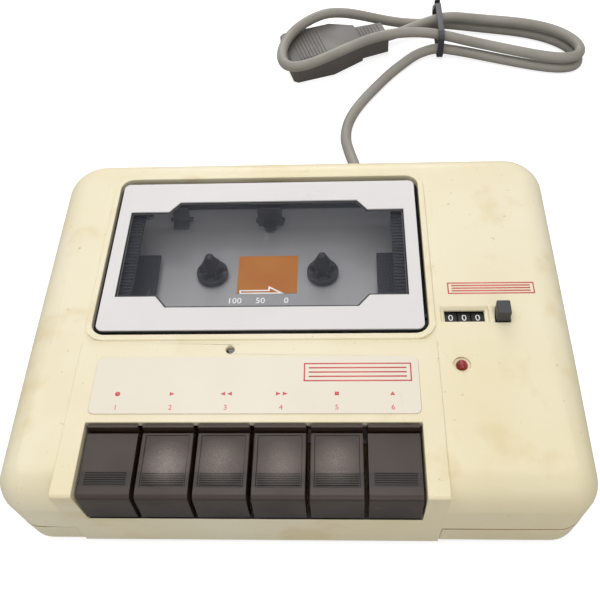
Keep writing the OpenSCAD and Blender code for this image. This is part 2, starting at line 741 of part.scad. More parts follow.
motor_h = z_plate - z_flywheel - flywheel_h - motor_gap;
module motor() color(steel) difference() {
    translate([motor_x, motor_y, z_plate - motor_h]) cylinder(r = motor_r, h = motor_h);
    translate([motor_x, motor_y, z_plate - motor_h - 1]) cylinder(r = capstan_r + run_fit, h = 5);
}
module motor_pulley() color(brass) translate([motor_x, motor_y, 0]) {
    translate([0, 0, z_flywheel + 0.5]) cylinder(r = motor_pulley_r, h = flywheel_h - 1);
    translate([0, 0, z_flywheel + 1]) cylinder(r = capstan_r, h = z_plate - motor_h + 3.5 - z_flywheel - 1);
}

// Plate that carries the heads and the pinch roller and slides towards the cassette
module head_slide() color(steel) difference() {
    block(slide_x - slide_w / 2, slide_front, z_slide, [slide_w, slide_d, slide_t]);
    for (x = stud_x) {
        translate([x, stud_y, z_slide - 1]) cylinder(r = stud_r + free_gap, h = 5);
        translate([x, stud_y - slide_travel, z_slide - 1]) cylinder(r = stud_r + free_gap, h = 5);
        block(x - stud_r - free_gap, stud_y - slide_travel, z_slide - 1,
            [2 * stud_r + 2 * free_gap, slide_travel, 5]);
    }
}
module slide_studs() color(steel) for (x = stud_x) translate([x, stud_y, 0]) {
    translate([0, 0, z_plate]) cylinder(r = stud_r, h = plate_t + slide_t + 1.5);
    translate([0, 0, z_slide + slide_t + free_gap]) cylinder(r = stud_r + 1, h = 1);
}

z_heads = z_slide + slide_t;
roller_h = 6.5;
head = [13, 9, 7];
eraser = [8, 8, 6.5];
module record_play_head() color(steel) block(deck_x - head[0] / 2, head_front, z_heads, head);
module erase_head() color(black)
    block(deck_x - 2.5 * eraser[0], head_front + head[1] - eraser[1], z_heads, eraser);
module azimuth_screw() color(brass) translate([deck_x - 9.1, crease_y - 2.8, z_heads]) difference() {
    cylinder(r = 1.4, h = 3);
    block(-2, -0.3, 2.2, [4, 0.6, 2]);
}
module pinch_roller() color(black)
    ring(capstan_x, roller_y, z_heads + free_gap, roller_r, capstan_r + 0.2 + run_fit, roller_h);
module roller_pin() color(steel) translate([capstan_x, roller_y, z_heads]) {
    cylinder(r = capstan_r + 0.2, h = roller_h + 1);
    translate([0, 0, roller_h + 2 * free_gap]) cylinder(r = capstan_r + 1, h = 0.5);
}

// Bracket under the top that holds the number wheels, with an arm for the reset stem
bracket_y0 = counter_y - wheel_r - 1.3;
bracket_d = 2 * wheel_r + 2.6;
bracket_z = wheel_z - wheel_r - 0.4 - bracket_t;
stem_z = wheel_z - 4.5;
arm_d = 8;
module counter_bracket() color(black) difference() {
    union() {
        for (x = [counter_x - bracket_in / 2 - bracket_t, counter_x + bracket_in / 2])
            block(x, bracket_y0, bracket_z, [bracket_t, bracket_d, z_under - 2 * run_fit - bracket_z]);
        block(counter_x - bracket_in / 2 - bracket_t, bracket_y0, bracket_z,
            [bracket_in + 2 * bracket_t, bracket_d, bracket_t]);
        block(counter_x + bracket_in / 2, reset_y - arm_d / 2, stem_z,
            [reset_x - counter_x - bracket_in / 2 + arm_d / 2, arm_d, bracket_t]);
    }
    bar_x(counter_x - 20, 40, counter_y, wheel_z, wheel_axle_r + run_fit);
    translate([reset_x, reset_y, stem_z - 1]) cylinder(r = reset_stem_r + run_fit, h = bracket_t + 2);
}
module counter_shaft() color(steel)
    bar_x(counter_x - bracket_in / 2 - bracket_t - 1.7, bracket_in + 2 * bracket_t + 2.2,
        counter_y, wheel_z, wheel_axle_r);
module counter_wheel(i) color(black) difference() {
    bar_x(counter_x + (i - 1) * wheel_pitch - wheel_w / 2, wheel_w, counter_y, wheel_z, wheel_r);
    bar_x(counter_x - 20, 40, counter_y, wheel_z, wheel_axle_r + run_fit);
}
module counter_wheel_hundreds() counter_wheel(0);
module counter_wheel_tens() counter_wheel(1);
module counter_wheel_units() counter_wheel(2);
module counter_pulley() color(white) difference() {
    bar_x(counter_x - bracket_in / 2 - bracket_t - 1.6, 1.3, counter_y, wheel_z, 4);
    bar_x(counter_x - 20, 40, counter_y, wheel_z, wheel_axle_r + run_fit);
}

module reset_button() color(black) {
    block(reset_x - reset_w / 2, reset_y - reset_d / 2, z_under - free_gap - 1,
        [reset_w, reset_d, reset_rise + wall + free_gap + 1]);
    block(reset_x - reset_w / 2, reset_y - reset_d / 2 - reset_lip, z_under - free_gap - 1.5,
        [reset_w, reset_d + 2 * reset_lip, 1.5]);
    translate([reset_x, reset_y, stem_z - reset_travel])
        cylinder(r = reset_stem_r, h = z_under - 1 - stem_z + reset_travel);
}

module at_board_posts() for (sx = [-1, 1], sy = [-1, 1])
    translate([board_x + sx * (board_w / 2 - 3.5), board_y + sy * (board_d / 2 - 3.5), 0]) children();
module circuit_board() color([0.45, 0.33, 0.12])
    block(board_x - board_w / 2, board_y - board_d / 2, z_board, [board_w, board_d, board_t]);
chip = [8, 20, 3.5];
relay = [9, 9, 8];
resistor = [2.4, 7, 2.4];
can_r = 2.8;
can_h = 10;
row_pitch = 7;
module board_components() color(black) translate([board_x, board_y, z_board + board_t]) {
    block(-chip[0] - 2, -relay[1] - 5, 0, chip);
    block(2, -2 * row_pitch - 2, 0, relay);
    for (i = [0 : 2]) translate([row_pitch, i * row_pitch, 0]) cylinder(r = can_r, h = can_h);
    for (i = [1 : 3]) block(1 - 4 * i, chip[1] / 2, 0, resistor);
}

// Flexible bush that the cord leaves the case through
module strain_relief() color(cord_grey)
    translate([exit_x, y_rear, exit_z]) rotate([-90, 0, 0]) rotate_extrude() polygon([
        [0, -wall - 2], [relief_r + 0.2, -wall - 2], [relief_r + 0.2, -wall], [relief_r, -wall],
        [relief_r, 0], [relief_r + 0.8, 0], [relief_r + 0.8, 2],
        [cord_d / 2 + 0.7, relief_l], [0, relief_l]]);

// Tube swept along points: a ring of corners square to the path at each point
function path_dir(p, i) = let(a = p[max(i - 1, 0)], b = p[min(i + 1, len(p) - 1)]) (b - a) / norm(b - a);
function ring_at(p, i, r, sides) =
    let(d = path_dir(p, i), s = cross(d, [0, 0, 1]), side = s / norm(s), up = cross(side, d))
    [for (k = [0 : sides - 1]) p[i] + r * (cos(360 * k / sides) * side + sin(360 * k / sides) * up)];
module tube(p, r, sides) {
    n = len(p);
    corners = [for (i = [0 : n - 1]) each ring_at(p, i, r, sides)];
    skin = [for (i = [0 : n - 2], k = [0 : sides - 1])
        let(a = i * sides + k, b = i * sides + (k + 1) % sides)
            each [[a, b, b + sides], [a, b + sides, a + sides]]];
    last = (n - 1) * sides;
    caps = [for (k = [1 : sides - 2]) each [[0, k + 1, k], [last, last + k, last + k + 1]]];
    polyhedron(points = corners, faces = concat(skin, caps));
}

// Hank: one and a half turns, drawn in at the tie, over the plug and then a layer up
hank_x = 62.5;
hank_half = 77;
tie_x = 68.5;
hank_mid = 211;
waist = [11.2, 9.5];
lobe_left = 44;
lobe_right = 28;
left_droop = 24;
cord_low = cord_d / 2 + 0.2;
tie_lift = 1.6;
layer = cord_d + 0.8;
over_plug = plug_h + cord_d / 2 + 0.9;
hank_start = 0.05;
hank_end = 2.93;
turn_rings = 24;
function smooth(a, b, t) = let(u = min(max((t - a) / (b - a), 0), 1)) u * u * (3 - 2 * u);
function hank_y(x) = let(u = x - tie_x) hank_mid - 0.129 * u - 0.00212 * u * u
    - left_droop * pow(min(u, 0) / (hank_half + tie_x - hank_x), 2);
// Point of the hank at t half turns from the tie
function hank_at(t) = let(s = sin(180 * t), c = cos(180 * t), x = hank_x + hank_half * s,
    w = waist[0] + (waist[1] - waist[0]) * smooth(1.2, 1.9, t), b = s < 0 ? lobe_left : lobe_right,
    lift = tie_lift * exp(-pow((x - tie_x) / 20, 2)),
    rise = (over_plug - cord_low) * smooth(1.0, 1.27, t)
        - (over_plug - cord_low - layer) * smooth(1.85, 2.1, t))
    [x, hank_y(x) - (w + (b - w) * s * s) * c, cord_low + lift + rise];
function hank_dir(t) = let(d = hank_at(t + 0.005) - hank_at(t - 0.005)) d / norm(d);

// Plug: where its cord goes in, and which way it points
plug_in = [39.5, 209, 6];
plug_turn = 18;
plug_dir = [cos(plug_turn), sin(plug_turn), 0];
grip_l = 15;
plug_rib = 0.9;
tail_pull = 14;
function bend(a, b, c, d, u) =
    pow(1 - u, 3) * a + 3 * u * pow(1 - u, 2) * b + 3 * u * u * (1 - u) * c + pow(u, 3) * d;
function tail_at(u) = bend(hank_at(hank_end), hank_at(hank_end) + tail_pull * hank_dir(hank_end),
    plug_in + tail_pull * plug_dir, plug_in, u);
function hank_path(n, m) = concat([for (i = [0 : n]) hank_at(hank_start + (hank_end - hank_start) * i / n)],
    [for (i = [1 : m - 1]) tail_at(i / m)], [plug_in + cord_d * plug_dir, plug_in]);

// Least clear space between two stretches of the hank, over points more than skip apart
function least_gap(p, skip) =
    min([for (i = [0 : len(p) - 1], j = [i + skip : 1 : len(p) - 1]) norm(p[i] - p[j])]) - cord_d;

module cord_hank() color(cord_grey) {
    echo(str("Least gap of the hank to itself, mm: ", least_gap(hank_path(200, 24), 14)));
    tube(hank_path(turn_rings * 3 / 2 + 6, 5), cord_d / 2, 6);
}

// Free stretch from the bush, down to the table and along to the hank
lead_steps = [[0, 100, 9], [-1, 107, 6], [-2, 114, 3.8], [-4, 123, 2.8], [-5.5, 132, 2.8],
    [-4.5, 142, 2.8], [-1, 152, 2.8], [4.5, 162, 2.8], [10.5, 171, 2.8], [17, 180, 2.9], [24, 188, 3.2],
    [32, 195.4, 3.8], [40, 199.2, 4.3]];
lead_route = [for (p = lead_steps) [exit_x + p[0], p[1], p[2]]];
module cord_lead() color(cord_grey) {
    out = [exit_x, y_rear + relief_l, exit_z];
    tube(concat([out, out + [0, cord_d, 0]], lead_route,
        [hank_at(hank_start) - cord_d * hank_dir(hank_start), hank_at(hank_start)]), cord_d / 2, 10);
}

// Cable tie round the waist of the hank, with its tail standing up behind
tie_w = 3;
tie_t = 1.2;
tie_low = [hank_at(0.025)[1] - cord_d / 2 - 0.6, 0.2 + tie_t];
tie_high = [hank_at(0.975)[1] + cord_d / 2 + 0.6, hank_at(2.025)[2] + cord_d / 2 + 0.6];
module cable_tie() color(black) {
    size = tie_high - tie_low;
    mid = (tie_high + tie_low) / 2;
    along_x(tie_x - tie_w / 2, tie_w) translate(mid) difference() {
        round_rect(size[0] + 2 * tie_t, size[1] + 2 * tie_t, 3 + tie_t);
        round_rect(size[0], size[1], 3);
    }
    block(tie_x - tie_w / 2 - 0.6, tie_high[0] + 0.2, mid[1] - 2, [tie_w + 1.2, 4.4, 4.6]);
    block(tie_x - tie_w / 2, tie_high[0] + 1.6, mid[1] + 2, [tie_w, 1.2, 5]);
    block(tie_x - tie_w / 4, tie_high[0] + 1.7, mid[1] + 6, [tie_w / 2, 1, 3.5]);
}

// Edge-connector plug: a wide body with a slot in its mouth, a narrow ribbed grip and ribs on top
module plug() color(plug_grey) translate([plug_in[0], plug_in[1], 0]) rotate(plug_turn) difference() {
    union() {
        linear_extrude(plug_h) polygon([
            [-grip_l - plug_body_l, -plug_w / 2 + 2], [-grip_l - plug_body_l + 2, -plug_w / 2],
            [-grip_l - 18, -plug_w / 2], [-grip_l, -8], [-grip_l, 8], [-grip_l - 12, plug_w / 2],
            [-grip_l - plug_body_l + 2, plug_w / 2], [-grip_l - plug_body_l, plug_w / 2 - 2]]);
        translate([-grip_l - 0.5, 0, 1]) linear_extrude(plug_h - 2)
            polygon([[0, -7.5], [grip_l + 0.5, -6.5], [grip_l + 0.5, 6.5], [0, 7.5]]);
        for (i = [0 : 8])
            block(5 - grip_l - plug_body_l + 2 * i * plug_rib, 3 - plug_w / 2, plug_h - 0.5,
                [plug_rib, plug_w - 6, plug_rib]);
        for (i = [0 : 6])
            block(1 - grip_l + 2 * i * plug_rib, -6, plug_h - 1.5, [plug_rib, 12, plug_rib]);
    }
    block(-grip_l - plug_body_l - 1, -plug_w / 2 + 4, plug_h / 2 - 1.2, [16, plug_w - 8, 2.4]);
}

top_shell();
base_tray();
rubber_feet();
case_screws();
label_plate();
signal_lamp();
lid_window();
lid_panel();
lid_carrier();
cassette_guide_left();
cassette_guide_right();
lid_hinge_rod();
lid_spring();
lid_latch();
record_key();
play_key();
rewind_key();
fast_forward_key();
stop_key();
eject_key();
key_shaft();
key_springs();
deck_plate();
deck_screws();
orange_sticker();
record_safety_lever();
supply_spindle();
takeup_spindle();
supply_pulley();
takeup_pulley();
flywheel();
capstan_shaft();
capstan_bearing();
capstan_pulley();
takeup_belt();
motor();
motor_pulley();
drive_belt();
head_slide();
slide_studs();
record_play_head();
erase_head();
azimuth_screw();
pinch_roller();
roller_pin();
counter_bracket();
counter_shaft();
counter_wheel_units();
counter_wheel_tens();
counter_wheel_hundreds();
counter_pulley();
reset_button();
circuit_board();
board_components();
strain_relief();
cord_lead();
cord_hank();
cable_tie();
plug();
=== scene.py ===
# %% [markdown]
# A cassette recorder for a home computer: a cream case with six brown keys, a lid with a
# smoked window, a tape counter and a grey cord. The CAD frame holds every solid in its
# place, in metres. This lesson rounds the edges, lays the cord, prints the signs and
# gives each finish its own grain, wear and gloss.

# %% Load the frame
import json

import bmesh
import bpy
import numpy as np
from mathutils import Matrix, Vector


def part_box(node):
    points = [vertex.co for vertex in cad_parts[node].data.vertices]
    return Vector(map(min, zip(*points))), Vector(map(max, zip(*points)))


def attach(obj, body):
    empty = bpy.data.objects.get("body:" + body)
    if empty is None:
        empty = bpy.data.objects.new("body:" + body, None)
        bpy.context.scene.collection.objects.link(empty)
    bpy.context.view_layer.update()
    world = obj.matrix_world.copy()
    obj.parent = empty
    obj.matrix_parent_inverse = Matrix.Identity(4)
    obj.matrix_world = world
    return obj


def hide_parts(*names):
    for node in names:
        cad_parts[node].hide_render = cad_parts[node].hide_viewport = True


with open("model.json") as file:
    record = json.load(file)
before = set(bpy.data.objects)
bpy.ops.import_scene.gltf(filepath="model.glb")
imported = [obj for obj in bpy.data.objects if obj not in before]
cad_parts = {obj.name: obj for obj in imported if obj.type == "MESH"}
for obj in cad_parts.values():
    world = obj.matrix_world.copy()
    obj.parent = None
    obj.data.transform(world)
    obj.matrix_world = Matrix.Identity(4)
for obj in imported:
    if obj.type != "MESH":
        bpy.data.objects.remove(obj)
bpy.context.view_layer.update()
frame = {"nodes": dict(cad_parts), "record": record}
nodes = frame["nodes"]
nodes_of_body = frame["record"]["behaviour"]["bodies"]
body_of_node = {node: body for body, members in nodes_of_body.items() for node in members}
slot_of_node = {part["node"]: part["material_slot"] for part in frame["record"]["subparts"]}
MM = 0.001

# %% [markdown]
# The camera comes first, because every later choice is judged through it. It stands in
# front of the recorder, high up, and leans a little, as a hand-held camera does. Its
# place was found by fitting the corners of the lid, the label and the key recess. It is
# written as a place and three turns, which are easy to read and to change.

# %% Camera
EYE = np.array([16.3, -173.25, 275.2]) * MM
YAW, PITCH, ROLL = np.radians([-5.07, 52.84, -4.54])
FOCAL_PIXELS, FRAME_PIXELS, SHIFT_PIXELS = 820, 600, 2
SENSOR = 36
forward = np.array([np.sin(YAW) * np.cos(PITCH), np.cos(YAW) * np.cos(PITCH), -np.sin(PITCH)])
level = np.array([np.cos(YAW), -np.sin(YAW), 0.0])
upright = np.cross(level, forward)
to_right = level * np.cos(ROLL) + upright * np.sin(ROLL)
to_top = upright * np.cos(ROLL) - level * np.sin(ROLL)
stand = np.eye(4)
stand[:3] = np.stack([to_right, to_top, -forward, EYE], axis=1)
camera = bpy.data.objects.new("camera", bpy.data.cameras.new("camera"))
camera.data.sensor_width = SENSOR
camera.data.lens = SENSOR * FOCAL_PIXELS / FRAME_PIXELS
camera.data.shift_y = SHIFT_PIXELS / FRAME_PIXELS
camera.data.clip_start = 0.01
camera.matrix_world = Matrix(stand.tolist())
bpy.context.collection.objects.link(camera)
bpy.context.scene.camera = camera
bpy.context.scene.view_settings.view_transform = "Standard"
print("camera lens, mm:", round(camera.data.lens, 2))

# %% [markdown]
# New pieces are grids of points, worked out whole with numpy. One helper turns points and
# faces into an object at the origin with its finish, and says which body it moves with.
# Modelling by hand would also do, but a formula can be read, checked and changed.

# %% Mesh from points
def piece(name, points, faces, body, slot, material):
    """A mesh object at the origin from points in millimetres and lists of corners."""
    mesh = bpy.data.meshes.new(name)
    corners = [list(map(int, face)) for face in faces]
    mesh.from_pydata((np.asarray(points, float) * MM).tolist(), [], corners)
    mesh.polygons.foreach_set("use_smooth", np.ones(len(mesh.polygons), bool))
    mesh.validate()
    obj = bpy.data.objects.new(name, mesh)
    bpy.context.collection.objects.link(obj)
    obj.data.materials.append(material)
    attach(obj, body)
    return obj


def grid_faces(rows, cols):
    """Quads between closed rings: each joins a point, the next in its ring, and the two after them."""
    r, c = np.meshgrid(np.arange(rows - 1), np.arange(cols), indexing="ij")
    a = r * cols + c
    b = r * cols + (c + 1) % cols
    return np.stack([a, b, b + cols, a + cols], axis=-1).reshape(-1, 4).tolist()


print("quads between three rings of eight:", len(grid_faces(3, 8)))

# %% [markdown]
# Old moulded plastic is never one colour: it yellows in patches, keeps fine scratches and
# is glossier where hands rub it. An image could show that, but noises need no image and
# no unwrapping. These helpers make a colour, a noise on the piece's own coordinates and a
# ramp over it, so that one noise can drive a colour, a gloss or a share.

# %% Colours and noises
def paint(red, green, blue):
    """A colour as seen on screen, 0 to 255, turned into the light values that a shader takes."""
    c = np.array([red, green, blue]) / 255
    return [*np.where(c <= 0.04045, c / 12.92, ((c + 0.055) / 1.055) ** 2.4).tolist(), 1.0]


def grey(v):
    """A grey for ramps that carry a number."""
    return [v, v, v, 1.0]


def own_coordinates(tree, scale, location=(0, 0, 0)):
    """The piece's own coordinates times a scale, plus a location."""
    coords = tree.nodes.new("ShaderNodeTexCoord")
    mapping = tree.nodes.new("ShaderNodeMapping")
    mapping.inputs["Scale"].default_value = scale
    mapping.inputs["Location"].default_value = location
    tree.links.new(coords.outputs["Object"], mapping.inputs["Vector"])
    return mapping.outputs["Vector"]


def noise(tree, scale, detail, stretch=(1, 1, 1)):
    """A noise on the piece's own coordinates, with features about 1 / scale metres wide."""
    field = tree.nodes.new("ShaderNodeTexNoise")
    field.inputs["Scale"].default_value = scale
    field.inputs["Detail"].default_value = detail
    tree.links.new(own_coordinates(tree, stretch), field.inputs["Vector"])
    return field.outputs["Fac"]


def ramp(tree, value, stops):
    """A colour ramp over a value: stops are (place, colour)."""
    node = tree.nodes.new("ShaderNodeValToRGB")
    line = node.color_ramp.elements
    while len(line) < len(stops):
        line.new(0.5)
    for element, (place, colour) in zip(line, stops):
        element.position = place
        element.color = colour
    tree.links.new(value, node.inputs["Fac"])
    return node.outputs["Color"]


print("middle grey of the screen as light:", round(paint(128, 128, 128)[0], 3))

# %% [markdown]
# Wear lies on top of a colour, as dirt does on plastic. One helper mixes a colour over
# another by a share that varies over the surface, and a second one lays it over whatever
# already feeds a socket of the shader, so that layers can be added one after another.

# %% Layers of colour
def blend_over(tree, under, over, share):
    """A colour laid over another by a share that varies over the surface."""
    node = tree.nodes.new("ShaderNodeMix")
    node.data_type = "RGBA"
    colours = [i for i in node.inputs if i.type == "RGBA"]
    tree.links.new(share, node.inputs[0])
    tree.links.new(under, colours[0])
    colours[1].default_value = over
    return next(o for o in node.outputs if o.type == "RGBA")


def lay_over(tree, socket_name, colour, share):
    """A colour laid over what feeds a socket of the shader."""
    socket = tree.nodes["Principled BSDF"].inputs[socket_name]
    tree.links.new(blend_over(tree, socket.links[0].from_socket, colour, share), socket)


def compute(tree, operation, first, second):
    """A Math node on two values, each a socket or a plain number."""
    node = tree.nodes.new("ShaderNodeMath")
    node.operation = operation
    for place, value in zip(node.inputs, (first, second)):
        if isinstance(value, float):
            place.default_value = value
        else:
            tree.links.new(value, place)
    return node.outputs[0]


print("layer helpers: blend_over, lay_over, compute")

# %% [markdown]
# Nearly every solid finish here is the same recipe with other numbers. A wide noise mixes
# the main colour with its aged one, a stretched noise draws scuffs, a third noise varies
# the gloss, and a very fine one is the grain that the mould leaves. One function with
# arguments keeps the finishes alike, as pieces from one factory are.

# %% Moulded finish
PATCH_FROM, PATCH_TO = 0.36, 0.72
SCUFF_SCALE, SCUFF_STRETCH, SCUFF_FADE = 150, (1.0, 0.22, 1.0), 0.12
SHINE_SCALE, GLOSSIER, DULLER = 55, 0.08, 0.1
GRAIN_DEPTH = 0.0002


def new_finish(name):
    """A new material, its node tree and its shader."""
    material = bpy.data.materials.new(name)
    material.use_nodes = True
    return material, material.node_tree, material.node_tree.nodes["Principled BSDF"]


def moulded(name, main, aged, scuff, rough, grain=(3200, 0.12),
            patch=16, scuffs=0.70, gloss=0.5, metal=0.0):
    """A finish of three screen colours: a main one that ages in patches, and thin scuffs."""
    material, tree, shader = new_finish(name)
    ageing = [(PATCH_FROM, paint(*main)), (PATCH_TO, paint(*aged))]
    patches = ramp(tree, noise(tree, patch, 5.0), ageing)
    lines = noise(tree, SCUFF_SCALE, 8.0, SCUFF_STRETCH)
    marks = ramp(tree, lines, [(scuffs, grey(0.0)), (scuffs + SCUFF_FADE, grey(1.0))])
    tree.links.new(blend_over(tree, patches, paint(*scuff), marks), shader.inputs["Base Color"])
    shine = [(0.3, grey(rough - GLOSSIER)), (0.7, grey(rough + DULLER))]
    tree.links.new(ramp(tree, noise(tree, SHINE_SCALE, 6.0), shine), shader.inputs["Roughness"])
    bump = tree.nodes.new("ShaderNodeBump")
    grain_scale, grain_strength = grain
    bump.inputs["Strength"].default_value = grain_strength
    bump.inputs["Distance"].default_value = GRAIN_DEPTH
    tree.links.new(noise(tree, grain_scale, 2.0), bump.inputs["Height"])
    tree.links.new(bump.outputs["Normal"], shader.inputs["Normal"])
    shader.inputs["Specular IOR Level"].default_value = gloss
    shader.inputs["Metallic"].default_value = metal
    return material


black_abs = moulded("black_moulding", (38, 38, 42), (48, 48, 54), (82, 82, 88), 0.42, (2600, 0.12),
                    patch=60)
print("nodes in one moulded finish:", len(black_abs.node_tree.nodes))

# %% [markdown]
# The case is cream plastic that has yellowed. Besides the slow change of colour it has
# beige blotches and small brown specks. Each is one more noise, laid over the finish only
# where it passes a level, so the marks stay apart as real stains do.

# %% Cream plastic with stains
BLOTCHES = (paint(216, 198, 152), 48, 0.58, 0.5)
SPECKS = (paint(160, 142, 104), 460, 0.69, 0.7)


def stained(material, colour, scale, start, most):
    """Marks of a colour where a noise passes the start level, up to a share called most."""
    tree = material.node_tree
    share = ramp(tree, noise(tree, scale, 6.0), [(start, grey(0.0)), (start + 0.1, grey(most))])
    lay_over(tree, "Base Color", colour, share)


cream_abs = moulded("aged_cream_abs", (233, 224, 196), (226, 212, 172), (205, 190, 150), 0.42, patch=14)
cream_tray = moulded("aged_cream_tray", (230, 221, 192), (222, 208, 168), (200, 186, 148), 0.45, patch=18)
for cream in (cream_abs, cream_tray):
    stained(cream, *BLOTCHES)
    stained(cream, *SPECKS)
print("nodes in the stained cream:", len(cream_abs.node_tree.nodes))

# %% [markdown]
# Inside the cassette well the case gets a painted shade of dark grey, and the recess under
# the keys a painted shadow that is almost black. Splitting the shell into pieces would give
# them their own materials, but it is one moulding, so the finish itself turns dark inside a
# box in the piece's own coordinates. The ribbed front strip of the keys gets painted shade
# in the same way.

# %% Painted shade in dark places
# Boxes of painted shade in the piece's own coordinates: a centre and half sizes, in millimetres.
SHADED_WELL = ((-12.9, 22.45, 36.6), (58.3, 37.7, 8.7))
SHADED_KEY_RECESS = ((-12.9, -60.3, 33.0), (53.2, 11.3, 7.05))
SHADED_KEY_RIBS = ((-12.9, -66.75, 45.0), (54, 2.4, 2.0))


def from_centre(tree, centre, reach):
    """The piece's own coordinates counted from a centre, in units of a reach; both are in millimetres."""
    scale = [1 / (r * MM) for r in reach]
    return own_coordinates(tree, scale, [-c / r for c, r in zip(centre, reach)])


def dark_inside(material, name, box, colour):
    """A copy of a finish with painted shade, a dark colour, in a box: where the largest of three scaled
    distances is below 1.
    """
    material = material.copy()
    material.name = name
    tree = material.node_tree
    size = tree.nodes.new("ShaderNodeVectorMath")
    size.operation = "ABSOLUTE"
    tree.links.new(from_centre(tree, *box), size.inputs[0])
    parts = tree.nodes.new("ShaderNodeSeparateXYZ")
    tree.links.new(size.outputs[0], parts.inputs[0])
    largest = compute(tree, "MAXIMUM", parts.outputs["X"], parts.outputs["Y"])
    largest = compute(tree, "MAXIMUM", largest, parts.outputs["Z"])
    lay_over(tree, "Base Color", colour, compute(tree, "LESS_THAN", largest, 1.0))
    return material


# Painted shade: the case turns dark grey inside the cassette well.
cream_shaded_well = dark_inside(cream_abs, "cream_shaded_well", SHADED_WELL, paint(74, 74, 78))
# Painted shadow: the recess under the keys turns almost black.
cream_shaded_shell = dark_inside(cream_shaded_well, "cream_shaded_shell", SHADED_KEY_RECESS, paint(22, 18, 16))
plain_brown = moulded("brown_key_abs", (48, 36, 29), (56, 43, 36), (88, 75, 68), 0.42, (2600, 0.10),
                      patch=40, gloss=0.38)
# Painted shade: the ribbed strip at the front of the keys is darker.
brown_abs = dark_inside(plain_brown, "brown_key_shaded", SHADED_KEY_RIBS, paint(34, 25, 20))
print("dark places:", cream_shaded_well.name, cream_shaded_shell.name, brown_abs.name)

# %% [markdown]
# The keys tell how they were used. Their fronts get a painted shade that deepens towards
# the lower edge, and the middle keys turn pale where fingers land. The shade is a ramp over
# height. The worn patch is a soft ball of colour and gloss: the gloss is wear, the paler
# colour a painted highlight. Fine specks break it up, because the grain of the plastic
# wears on its peaks first.

# %% Painted shade on the key fronts, and worn keys with a painted highlight
# Heights in millimetres over which the painted shade on the key fronts fades out.
SHADE_LOW, SHADE_HIGH = 30.2, 39
# Colour of the painted highlight on the worn patches, and the lower roughness of the wear.
RUB_HIGHLIGHT_COLOUR, RUBBED_ROUGH = paint(150, 138, 130), grey(0.2)


def grimy_below(material, low, high, colour):
    """Painted shade that thins out upwards over a finish, from a low height to a high one, in millimetres."""
    tree = material.node_tree
    parts = tree.nodes.new("ShaderNodeSeparateXYZ")
    tree.links.new(from_centre(tree, (0, 0, low), (1, 1, high - low)), parts.inputs[0])
    share = ramp(tree, parts.outputs["Z"], [(0.0, grey(0.9)), (1.0, grey(0.0))])
    lay_over(tree, "Base Color", colour, share)


def rubbed(name, centre, reach, most):
    """Brown key plastic with a soft patch about a centre, in millimetres: glossier there from wear, and paler
    from a painted highlight.
    """
    material = brown_abs.copy()
    material.name = name
    tree = material.node_tree
    ball = tree.nodes.new("ShaderNodeTexGradient")
    ball.gradient_type = "SPHERICAL"
    tree.links.new(from_centre(tree, centre, reach), ball.inputs["Vector"])
    soft = ramp(tree, ball.outputs["Fac"], [(0.0, grey(0.0)), (0.3, grey(most / 4)), (0.9, grey(most))])
    specks = ramp(tree, noise(tree, 2600, 3.0), [(0.4, grey(0.55)), (0.6, grey(1.0))])
    share = compute(tree, "MULTIPLY", soft, specks)
    # Painted highlight: the patch turns paler; the roughness below it is real wear.
    lay_over(tree, "Base Color", RUB_HIGHLIGHT_COLOUR, share)
    lay_over(tree, "Roughness", RUBBED_ROUGH, share)
    return material


# Painted shade, near black, on the lower part of every key front.
grimy_below(brown_abs, SHADE_LOW, SHADE_HIGH, paint(14, 11, 9))
print("nodes in the key plastic:", len(brown_abs.node_tree.nodes))

# %% [markdown]
# The cord is the only soft piece. It leaves the back of the case, sinks to the table and
# is folded into a hank of one and a half turns, drawn in by a cable tie, before it ends
# in the plug. The hank is a formula: a loop in sine and cosine whose width shrinks at the
# tie, and whose height steps up where one turn crosses the plug or another turn.

# %% Hank of the cord
CORD_D = 5.2
FLOOR_GAP, PLUG_GAP, LAYER_GAP, PLUG_TOP = 0.2, 0.9, 0.8, 12
cord_low = CORD_D / 2 + FLOOR_GAP
over_plug = PLUG_TOP + CORD_D / 2 + PLUG_GAP
layer = CORD_D + LAYER_GAP
TIE_X, HANK_X, HANK_HALF, HANK_MID = 68.5, 62.5, 77, 211
WAIST, LOBES = (11.2, 9.5), (44, 28)
SLOPE, BOW, LEFT_DROOP = 0.129, 0.00212, 24
TIE_LIFT, TIE_REACH = 1.6, 20
NARROWS, CLIMBS, SINKS = (1.2, 1.9), (1.0, 1.27), (1.85, 2.1)


def ease(span, t):
    """A smooth step: 0 before the span, 1 after it, with level ends."""
    low, high = span
    u = np.clip((t - low) / (high - low), 0, 1)
    return u * u * (3 - 2 * u)


def hank(t):
    """The hank at t half turns: a loop in sine and cosine, drawn in at the tie, that climbs over the plug."""
    s, c = np.sin(np.pi * t), np.cos(np.pi * t)
    x = HANK_X + HANK_HALF * s
    off = x - TIE_X
    waist = WAIST[0] + (WAIST[1] - WAIST[0]) * ease(NARROWS, t)
    lobe = np.where(s < 0, *LOBES)
    lift = TIE_LIFT * np.exp(-((off / TIE_REACH) ** 2))
    climb = over_plug - cord_low
    rise = climb * ease(CLIMBS, t) - (climb - layer) * ease(SINKS, t)
    droop = LEFT_DROOP * (np.minimum(off, 0) / (HANK_HALF + TIE_X - HANK_X)) ** 2
    y = HANK_MID - SLOPE * off - BOW * off * off - droop - (waist + (lobe - waist) * s * s) * c
    return np.stack([x, y, cord_low + lift + rise], axis=-1)


def heading(t):
    """The unit direction of the hank at t."""
    d = hank(t + 0.005) - hank(t - 0.005)
    return d / np.linalg.norm(d)


HANK_START, HANK_END = 0.05, 2.93
turns = hank(np.linspace(HANK_START, HANK_END, 220)[1:])
print("hank, mm:", np.ptp(turns, axis=0).round(1).tolist())

